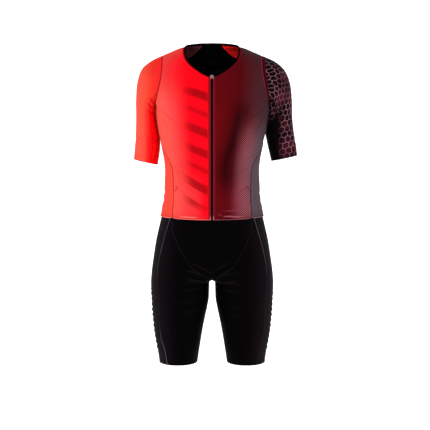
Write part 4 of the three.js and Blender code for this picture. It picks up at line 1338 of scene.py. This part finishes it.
def black_cloth(name, base_colour, lit_colour, flank_highlight, rib=0.0):
    finish = Finish(name, **BLACK_SHADER, Sheen_Tint="8a7088")
    u, v = finish.cloth_place()
    across = finish.mark("across")
    # The sides are painted lighter: a painted sheen where the side lights graze the hips
    base = finish.mix(across.between(0.55, 0.98), base_colour, lit_colour)
    # Painted highlight on the flanks beside each fold
    base = finish.mix(finish.mark("fold").between(-0.02, -0.16) * flank_highlight, base, "262026")
    relief = (u + v).waves(SKEW_KNIT_PITCH) * rib
    # The last two colours are the painted shade in folds and the painted highlight on ridges
    return finish_cloth(finish, base, relief, u, v, "000000", "0d0b0d", rough=0.72)


THREAD_FADE = 0.07
TWIST_PITCH = 0.0011
FADED_THREAD = "0c0a0c"


def thread(name, colour, fading=0.0, shown_above=None, shown_below=None):
    """Sewing thread; on the shorts it shows at full strength only above and below the levels given."""
    finish = Finish(name, Roughness=0.75, Specular_IOR_Level=0.03)
    u, v = finish.cloth_place()
    twist = (u * 1.6 + v).waves(TWIST_PITCH)
    base = finish.mix(twist.between(-0.4, 1.0) * 0.3, colour, "000000")
    base = finish.mix(finish.noise(5.0).between(0.42, 0.58) * fading, base, FADED_THREAD)
    if shown_above:
        height = finish.height()
        faint = height.between(shown_above, shown_above - THREAD_FADE)
        if shown_below:
            faint = faint * height.between(shown_below, shown_below + THREAD_FADE)
        base = finish.mix(faint * 0.85, base, FADED_THREAD)
    return finish.feed(Base_Color=base, Normal=finish.bump(twist, 0.0001, 0.5))


def woven(name, colour, line_colour, pitch=0.0012):
    finish = Finish(name, Roughness=0.85, Specular_IOR_Level=0.0)
    u, v = finish.cloth_place()
    over = u.waves(pitch) * v.waves(pitch)
    if name == "zip_tape":
        colour = finish.over(
            colour,
            (finish.mark("outward").between(0.0036, 0.0054), "8a2c38"),
            # The tape's ends are painted paler: a painted highlight where the tape turns
            (finish.mark("end").between(0.014, 0.006) * 0.85, "c8707a"),
        )
    base = finish.mix(over.between(-0.5, 0.8) * 0.4, colour, line_colour)
    return finish.feed(Base_Color=base, Normal=finish.bump(over, 0.0003, 0.7))


def zip_plastic():
    finish = Finish("zip_plastic", Specular_IOR_Level=0.04)
    worn = finish.noise(220.0, 3.0)
    base = finish.mix(worn.between(0.4, 0.8), "050304", "0e080b")
    return finish.feed(Base_Color=base, Roughness=0.42 + worn * 0.2, Normal=finish.bump(worn, 0.0001, 0.3))


TAB_DARK_BELOW_Z = -0.0958
TAB_DARK_EDGE = 0.0006


def slider_metal(name):
    """Satin metal; the pull tab is darker below a level."""
    finish = Finish(name, Metallic=0.85)
    worn = finish.noise(500.0, 4.0)
    base = finish.mix(worn.between(0.35, 0.7), "9c958a", "767068")
    if name == "pull_tab_metal":
        dark_lower_part = finish.height().between(TAB_DARK_BELOW_Z + TAB_DARK_EDGE, TAB_DARK_BELOW_Z - TAB_DARK_EDGE)
        base = finish.mix(dark_lower_part, base, "1a1210")
    return finish.feed(Base_Color=base, Roughness=0.26 + worn * 0.22, Normal=finish.bump(worn, 0.00008, 0.4))


# Threads: colour, how far patches of it fade, and the levels above and below which it shows fully
THREADS = {
    "red_thread": ["c41a1c"],
    "wine_thread": ["3c101c"],
    "bright_red_thread": ["d01012"],
    "deep_red_thread": ["a80e16"],
    "rose_thread": ["862a44"],
    "grey_thread": ["545058", 0.4, -0.62, -0.87],
    "grey_thread_fading": ["545058", 0.4, -0.60],
    "black_thread": ["080708"],
    "dim_thread": ["242027", 0.4, -0.53],
    "dimmer_thread": ["141215", 0.4, -0.50],
}
FINISHES = {
    **{f"red_{panel}": red_mesh(panel) for panel in ("front", "side", "yoke", "sleeve")},
    **{f"wine_{panel}": wine_mesh(panel) for panel in ("front", "side", "yoke")},
    "hexagons": hexagon_print(),
    "black_knit": black_cloth("black_knit", "030203", "0a080c", 0.5),
    "shorts_knit": black_cloth("shorts_knit", "010001", "0d070c", 0.14),
    "ribbed_knit": black_cloth("ribbed_knit", "080608", "110c10", 0.3, rib=0.5),
    "binding": woven("binding", "050405", "0e0b0e", 0.0016),
    "zip_tape": woven("zip_tape", "5e0c20", "3c0812"),
    "zip_plastic": zip_plastic(),
    "slider_metal": slider_metal("slider_metal"),
    "pull_tab_metal": slider_metal("pull_tab_metal"),
    **{name: thread(name, *values) for name, values in THREADS.items()},
}

# Cloth pieces
HANDS = (("left", False), ("right", True))
MID_CHEST_Z = -300
MID_SLEEVE_Z = -400
SWAPPED = str.maketrans("lr", "rl")
JERSEY = {"sewn": "lrt", "level": MID_CHEST_Z, "hemmed": True}
LEG = {"sewn": "lr", "hemmed": True}
for hand, mirrored in HANDS:
    def panel(node, grid, finish, slot, **cut):
        cloth_piece(node, placed(grid, mirrored), FINISHES[finish], slot, **cut)

    def edges(names):
        return names.translate(SWAPPED) if mirrored else names

    colour, other = ("red", "wine") if mirrored else ("wine", "red")
    panel(f"front_{hand}", front, colour + "_front", colour + "_mesh", **JERSEY,
          middle=1 if mirrored else 0, notched=edges("r"))
    panel(f"side_{hand}", side, colour + "_side", colour + "_mesh", **JERSEY, notched=edges("l"))
    panel(f"yoke_{hand}", yoke, other + "_yoke", other + "_mesh", level=0)
    sleeve = split_sleeve(sleeve_grid(RIGHT_SLEEVE if mirrored else LEFT_SLEEVE))
    sleeve_finish = "red_sleeve" if mirrored else "hexagons"
    sleeve_slots = ("red_mesh", "red_mesh") if mirrored else ("hexagon_print", "black_knit")
    for part, grid, slot in zip(("over", "under"), sleeve, sleeve_slots):
        panel(f"sleeve_{hand}_{part}", grid, sleeve_finish, slot, **(JERSEY | {"level": MID_SLEEVE_Z}))
    panel(f"thigh_{hand}", thigh, "shorts_knit", "shorts_knit", **LEG)
    panel(f"leg_back_{hand}", leg_back, "shorts_knit", "shorts_knit", **LEG)
    ribs = rib_raise(placed(leg_side, mirrored), mirrored)
    panel(f"leg_side_{hand}", leg_side, "ribbed_knit", "ribbed_knit", **LEG, raised=ribs)
cloth_piece("back", back, FINISHES["black_knit"], "black_knit", **JERSEY)
cloth_piece("shorts_front", shorts_front, FINISHES["shorts_knit"], "shorts_knit", sewn="lrb")


# Binding round the neckline, folded over the cloth's edge to a thin lip on its inside
BINDING_ROWS = 9
BINDING_EDGE = 0.55
GATHER = 0.1
GATHER_PITCH = 5.3
GATHER_WANDER_LENGTH = 31
BINDING_LIP = 3
BINDING_LIP_INSET = 0.3
BINDING_LIP_ROWS = 5
BINDING_LIP_FACES = (-0.6, -0.1)


def binding():
    half = np.concatenate([neck_front, neck_yoke[1:], neck_middle[1:]])
    path = np.concatenate([half, half[-2::-1] * np.array([-1, 1, 1])])
    length = along_line(path)
    normals = body_normal(path)
    along = np.concatenate([path[1:], path[-1:]]) - np.concatenate([path[:1], path[:-1]])
    toward_neck = np.cross(normals, along)
    toward_neck[[0, -1], 0] = 0
    toward_neck = unit(toward_neck)
    shape = Shape()

    def strip(reach, inner, outer):
        """A wall along the neckline that reaches across it."""
        points = path[None] + toward_neck[None] * reach[:, None, None]
        grid = Grid(points, np.repeat(normals[None], len(reach), 0)).stood_back()
        wall(shape, grid, inner, outer, laid_flat(reach[:, None], length[None]))

    widths = np.linspace(0, BINDING_WIDTH, BINDING_ROWS)
    across = np.abs(2 * widths / BINDING_WIDTH - 1)[:, None]
    gathered = GATHER * np.sin(2 * np.pi * length / GATHER_PITCH + np.sin(length / GATHER_WANDER_LENGTH))
    strip(widths, 0, BINDING_THICKNESS * (1 - BINDING_EDGE * across**3) + gathered * (1 - across))
    lip_widths = np.linspace(-BINDING_LIP, BINDING_WIDTH - BINDING_LIP_INSET, BINDING_LIP_ROWS)
    strip(lip_widths, *BINDING_LIP_FACES)
    piece = shape.to_object("neck_binding_cloth", FINISHES["binding"], sharp=70)
    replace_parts(piece, "neck_binding")
    return piece


# Zip: a woven tape on each side, and two rows of teeth that mesh over a black ground
ZIP_STEPS = 260


def zip_grid(levels, xs):
    points = body_point_at(np.array(xs)[None], np.array(levels)[:, None], -1)
    return lift_hem(Grid(points, body_normal(points)))


TAPE_COLUMNS = 6
TAPE_THINNER = 0.15
TAPE_RIDGE = 0.12
TAPE_RIDGE_PITCH = 0.62


def zip_tape(hand, mirrored):
    levels = np.linspace(JERSEY_HEM_Z, ZIP_TOP_Z, ZIP_STEPS)
    grid = zip_grid(levels, np.linspace(ZIP_COIL_HALF, ZIP_TAPE_HALF, TAPE_COLUMNS))
    grid = placed(grid, mirrored).stood_back()
    left, _, up, down = grid.distances()
    ridge = TAPE_RIDGE * np.cos(2 * np.pi * left / TAPE_RIDGE_PITCH)
    shape = Shape()
    wall(shape, grid, 0, CLOTH - TAPE_THINNER + ridge, laid_flat(left, up))
    marks = {"end": np.minimum(up, down), "outward": np.abs(grid.points[..., 0])}
    marks = {name: np.tile(values.ravel() * MM, 2) for name, values in marks.items()}
    piece = shape.to_object(f"zip_tape_{hand}_woven", FINISHES["zip_tape"], marks)
    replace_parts(piece, f"zip_tape_{hand}")
    return piece


TOOTH_SIDES = 6
TOOTH_ENDS = ((0.0, 0.55), (0.16, 1.0), (0.84, 1.0), (1.0, 0.6))
ZIP_GROUND_HALF = 2.6
ZIP_GROUND_COLUMNS = 5
ZIP_GROUND_HEIGHT = 0.35
ZIP_END_CLEARANCE = 0.6


def zip_teeth():
    shape = Shape()
    levels = np.linspace(JERSEY_HEM_Z, TEETH_TOP_Z, ZIP_STEPS)
    ground = zip_grid(levels, np.linspace(-ZIP_GROUND_HALF, ZIP_GROUND_HALF, ZIP_GROUND_COLUMNS))
    ground = ground.stood_back()
    left, _, up, _ = ground.distances()
    wall(shape, ground, ZIP_COIL_INSIDE, ZIP_GROUND_HEIGHT, laid_flat(left, up))
    line = zip_grid(levels, [0.0]).line(np.s_[:, 0])
    turn = np.arange(TOOTH_SIDES) * 2 * np.pi / TOOTH_SIDES
    share, swell = np.array(TOOTH_ENDS).T
    faces = tube_faces(len(share), TOOTH_SIDES)
    rise = TOOTH["middle"] + TOOTH["half_depth"] * swell[:, None] * np.sin(turn)
    for hand_side, offset in ((-1, 0.25), (1, 0.75)):
        start = TOOTH_PITCH * offset + ZIP_END_CLEARANCE
        places = line.at(np.arange(start, line.along[-1] - ZIP_END_CLEARANCE, TOOTH_PITCH))
        x = hand_side * (TOOTH["outer"] - (TOOTH["outer"] - TOOTH["inner"]) * share)
        tall = TOOTH["half_height"] * swell[:, None] * np.cos(turn) * hand_side
        for place, normal, way in zip(places.points, places.normals, places.forward()):
            points = place + way * tall[..., None] + normal * rise[..., None]
            points[..., 0] += x[:, None]
            shape.add(points, faces)
    piece = shape.to_object("zip_coil", FINISHES["zip_plastic"], sharp=50)
    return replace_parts(piece, "zip_teeth")


# The slider and its pull tab keep their solids, with softened edges
WELD_DISTANCE = 0.00001
ROUNDING_STEPS = 3
ROUNDED_ANGLE = math.radians(40)


def soften(node, finish, radius):
    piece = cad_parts[node]
    piece.data.materials.clear()
    piece.data.materials.append(FINISHES[finish])
    piece.modifiers.new("joined_points", "WELD").merge_threshold = WELD_DISTANCE
    bevel = piece.modifiers.new("rounded_edges", "BEVEL")
    bevel.width = radius * MM
    bevel.segments = ROUNDING_STEPS
    bevel.limit_method = "ANGLE"
    bevel.angle_limit = ROUNDED_ANGLE


binding_piece = binding()
tapes = {hand: zip_tape(hand, mirrored) for hand, mirrored in HANDS}
teeth_piece = zip_teeth()
soften("slider", "slider_metal", 0.3)
soften("pull_tab", "pull_tab_metal", 0.22)


# Seams and sewing, gathered by colour and place
def armhole_line(hand, mirrored):
    """Round the armhole on the body side: down the front, under the arm and up the back."""
    armhole_row = SEAM_ROWS * REFINE
    front_part = skin_column(f"front_{hand}", 0 if mirrored else -1, armhole_row).turned_round()
    side_part = skins[f"side_{hand}"].line(-1)
    side_part = side_part.turned_round() if mirrored else side_part
    back_end = armhole_row + STEPS["back"] * REFINE + 1
    back_part = skin_column("back", -1 if mirrored else 0, armhole_row, back_end)
    yoke_part = skin_column(f"yoke_{hand}", -1 if mirrored else 0)
    return front_part.then(side_part).then(back_part).then(yoke_part)


# A tape inside the garment covers each armhole seam
TAPE_STEP = 6
TAPE_WIDTH = 8
TAPE_HEIGHT = 0.3
TAPE_INSIDE = -CLOTH - 0.5

# Widths of the flat seams, how far the armhole's stands in from its edge, and the row beside the zip
BACK_SEAM = 3.4
JERSEY_SEAM = 2.8
LEG_SEAM = 2.4
ARMHOLE_ASIDE = 1.3
ZIP_ROW_INSET = 2.2

# What is sewn on each cloth piece, by node
going_along = {}


def sewing(node, name, colour, seams=(), rows=(), width=BACK_SEAM, aside=0, taped=()):
    shape = Shape()
    for line in taped:
        band(shape, line.every(TAPE_STEP).moved(out=TAPE_INSIDE), TAPE_WIDTH, TAPE_HEIGHT, 3)
    for line in seams:
        flat_seam(shape, line, width, aside)
    for line in rows:
        sewn_row(shape, line)
    going_along[node] = [shape.to_object(name + "_sewing", FINISHES[colour], sharp=60)]


def hem_rows(*nodes):
    return [inner_line(node, "b", level) for node in nodes for level in HEM_STITCH_LEVELS]


above_crotch = int(np.searchsorted(inner_levels, CROTCH_Z))
at_point = int(np.searchsorted(inner_levels, FRONT_POINT_Z))
yoke_row = (SEAM_ROWS + STEPS["back"]) * REFINE
for hand, mirrored in HANDS:
    def pick(left, right):
        return right if mirrored else left

    def column(part, at, start=0, end=None):
        return skin_column(f"{part}_{hand}", at, start, end)

    first, last = pick(0, -1), pick(-1, 0)
    mesh_thread = pick("wine_thread", "red_thread")
    front_node, under_node = f"front_{hand}", f"sleeve_{hand}_under"
    sewing(
        front_node, f"front_{hand}", mesh_thread,
        [column("front", last, 0, SEAM_ROWS * REFINE + 1), skins[front_node].line(-1)],
        [inner_line(front_node, pick("l", "r"), ZIP_ROW_INSET)] + hem_rows(front_node), JERSEY_SEAM,
    )
    sewing(
        f"side_{hand}", f"side_{hand}", mesh_thread,
        [column("side", last)], hem_rows(f"side_{hand}"), JERSEY_SEAM,
    )
    armhole_seam = armhole_line(hand, mirrored)
    sewing(
        f"yoke_{hand}", f"armhole_{hand}", pick("rose_thread", "deep_red_thread"), [armhole_seam],
        width=JERSEY_SEAM, aside=pick(ARMHOLE_ASIDE, -ARMHOLE_ASIDE), taped=[armhole_seam],
    )
    sewing(
        under_node, f"sleeve_{hand}", pick("black_thread", "bright_red_thread"),
        [skin_column(under_node, 0), skin_column(under_node, -1)],
        hem_rows(under_node, f"sleeve_{hand}_over"), JERSEY_SEAM,
    )
    sewing(
        f"leg_side_{hand}", f"outer_leg_{hand}", pick("grey_thread_fading", "grey_thread"),
        [column("thigh", last), column("leg_side", last)], width=LEG_SEAM,
    )
    sewing(
        f"thigh_{hand}", f"thigh_{hand}", pick("dimmer_thread", "dim_thread"),
        [column("thigh", first, at_point)],
        hem_rows(f"thigh_{hand}", f"leg_side_{hand}", f"leg_back_{hand}"), LEG_SEAM,
    )
    sewing(
        f"leg_back_{hand}", f"inner_leg_{hand}", "black_thread",
        [column("leg_back", last, 0, above_crotch)],
    )
sewing(
    "back", "back", "black_thread",
    [skin_column("back", 0, yoke_row), skin_column("back", -1, yoke_row)], hem_rows("back"),
)
sewing(
    "shorts_front", "middle_back", "black_thread", [skin_column("leg_back_left", -1, above_crotch)],
)

# Short dense tacks beside the side seams, where the mouths of the rear pockets end
TACK_STEPS = 23
TACK_HALF_WIDTH = 0.8
TACK_HEIGHT = 0.35
TACK_THREAD = 0.32
TACKS = {
    "left": ((107, -415), (104, -408), (101.5, -402)),
    "right": ((-105, -415), (-103, -409), (-99, -402)),
}


def pocket_tack(hand):
    share = np.linspace(0, 1, TACK_STEPS)
    x, z = (np.interp(share, (0, 0.5, 1), values) for values in zip(*TACKS[hand]))
    points = body_point_at(x, z, -1)[None]
    grid = Grid(points, body_normal(points))
    grid = grid.moved(CLOTH + TACK_HEIGHT - crease_depth(grid))
    swing = TACK_HALF_WIDTH * np.where(np.arange(TACK_STEPS) % 2, 1, -1)
    shape = Shape()
    tube(shape, grid.line(0).moved(aside=swing), TACK_THREAD)
    colour = "deep_red_thread" if hand == "right" else "black_thread"
    return shape.to_object(f"pocket_tack_{hand}", FINISHES[colour], sharp=60)


# What goes along with each cloth piece: what is sewn on it
going_along["back"].append(binding_piece)
going_along["front_left"] += [tapes["left"], teeth_piece]
going_along["front_right"].append(tapes["right"])
for hand in TACKS:
    going_along[f"front_{hand}"].append(pocket_tack(hand))

# Camera: level with the waist, a little above it, far enough off for the photograph's flat perspective
FRAME_PIXELS = 430
MM_PER_PIXEL = 2.95
CAMERA_TARGET = Vector((0.0085, 0, -0.4912))
CAMERA_DISTANCE = 3.0
CAMERA_DROP = math.radians(5)
SENSOR = 36
camera_data = bpy.data.cameras.new("camera")
camera_data.sensor_width = SENSOR
camera_data.lens = SENSOR * CAMERA_DISTANCE / (FRAME_PIXELS * MM_PER_PIXEL * MM)
camera = new_object("camera", camera_data)
toward = Vector((0, math.cos(CAMERA_DROP), -math.sin(CAMERA_DROP)))
camera.location = CAMERA_TARGET - toward * CAMERA_DISTANCE
camera.rotation_euler = toward.to_track_quat("-Z", "Y").to_euler()
bpy.context.scene.camera = camera

# A white studio floor, which curves up into a white wall behind the suit
FLOOR_Z = -1.02
FLOOR_FRONT = -4.0
FLOOR_BACK = 2.2
WALL_TOP = 3.0
BEND_RADIUS = 0.8
STAGE_HALF = 5.0
BEND_STEPS = 16
bend = [math.radians(90 * i / BEND_STEPS) for i in range(BEND_STEPS + 1)]
profile = [(FLOOR_FRONT, FLOOR_Z)]
profile += [(FLOOR_BACK + BEND_RADIUS * math.sin(a), FLOOR_Z + BEND_RADIUS * (1 - math.cos(a))) for a in bend]
profile += [(FLOOR_BACK + BEND_RADIUS, WALL_TOP)]
floor_mesh = bpy.data.meshes.new("studio_floor")
floor_mesh.from_pydata(
    [(x, y, z) for y, z in profile for x in (-STAGE_HALF, STAGE_HALF)],
    [], [(2 * i, 2 * i + 1, 2 * i + 3, 2 * i + 2) for i in range(len(profile) - 1)],
)
floor_mesh.shade_smooth()
floor_finish = Finish("studio_white", Roughness=0.9, Specular_IOR_Level=0.1, Emission_Strength=0.62)
floor_tone = floor_finish.ramp(floor_finish.noise(3.0), (0.0, "f8f8f7"), (1.0, "fbfbfa"))
floor_finish.feed(Base_Color=floor_tone, Emission_Color=floor_tone)
floor_mesh.materials.append(floor_finish.material)
floor = new_object("studio_floor", floor_mesh)

LIGHTS = [
    # name, place, size, watts
    ("key", (-1.2, -2.3, 1.3), 1.1, 42),
    ("fill", (1.4, -2.5, 0.4), 1.8, 23),
    ("left_strip", (-2.0, -0.4, -0.1), 1.0, 9),
    ("right_strip", (2.0, -0.4, -0.1), 1.0, 9),
    ("back_top", (0.2, 1.2, 1.6), 1.4, 14),
]
for name, place, size, watts in LIGHTS:
    lamp = bpy.data.lights.new(name, "AREA")
    lamp.size = size
    lamp.energy = watts
    light = new_object(name, lamp)
    light.location = place
    light.rotation_euler = (CAMERA_TARGET - Vector(place)).to_track_quat("-Z", "Y").to_euler()

world = bpy.data.worlds.new("studio")
world.use_nodes = True
world.node_tree.nodes["Background"].inputs["Color"].default_value = (1, 1, 1, 1)
world.node_tree.nodes["Background"].inputs["Strength"].default_value = 0.4
bpy.context.scene.world = world
bpy.context.scene.view_settings.view_transform = "Standard"
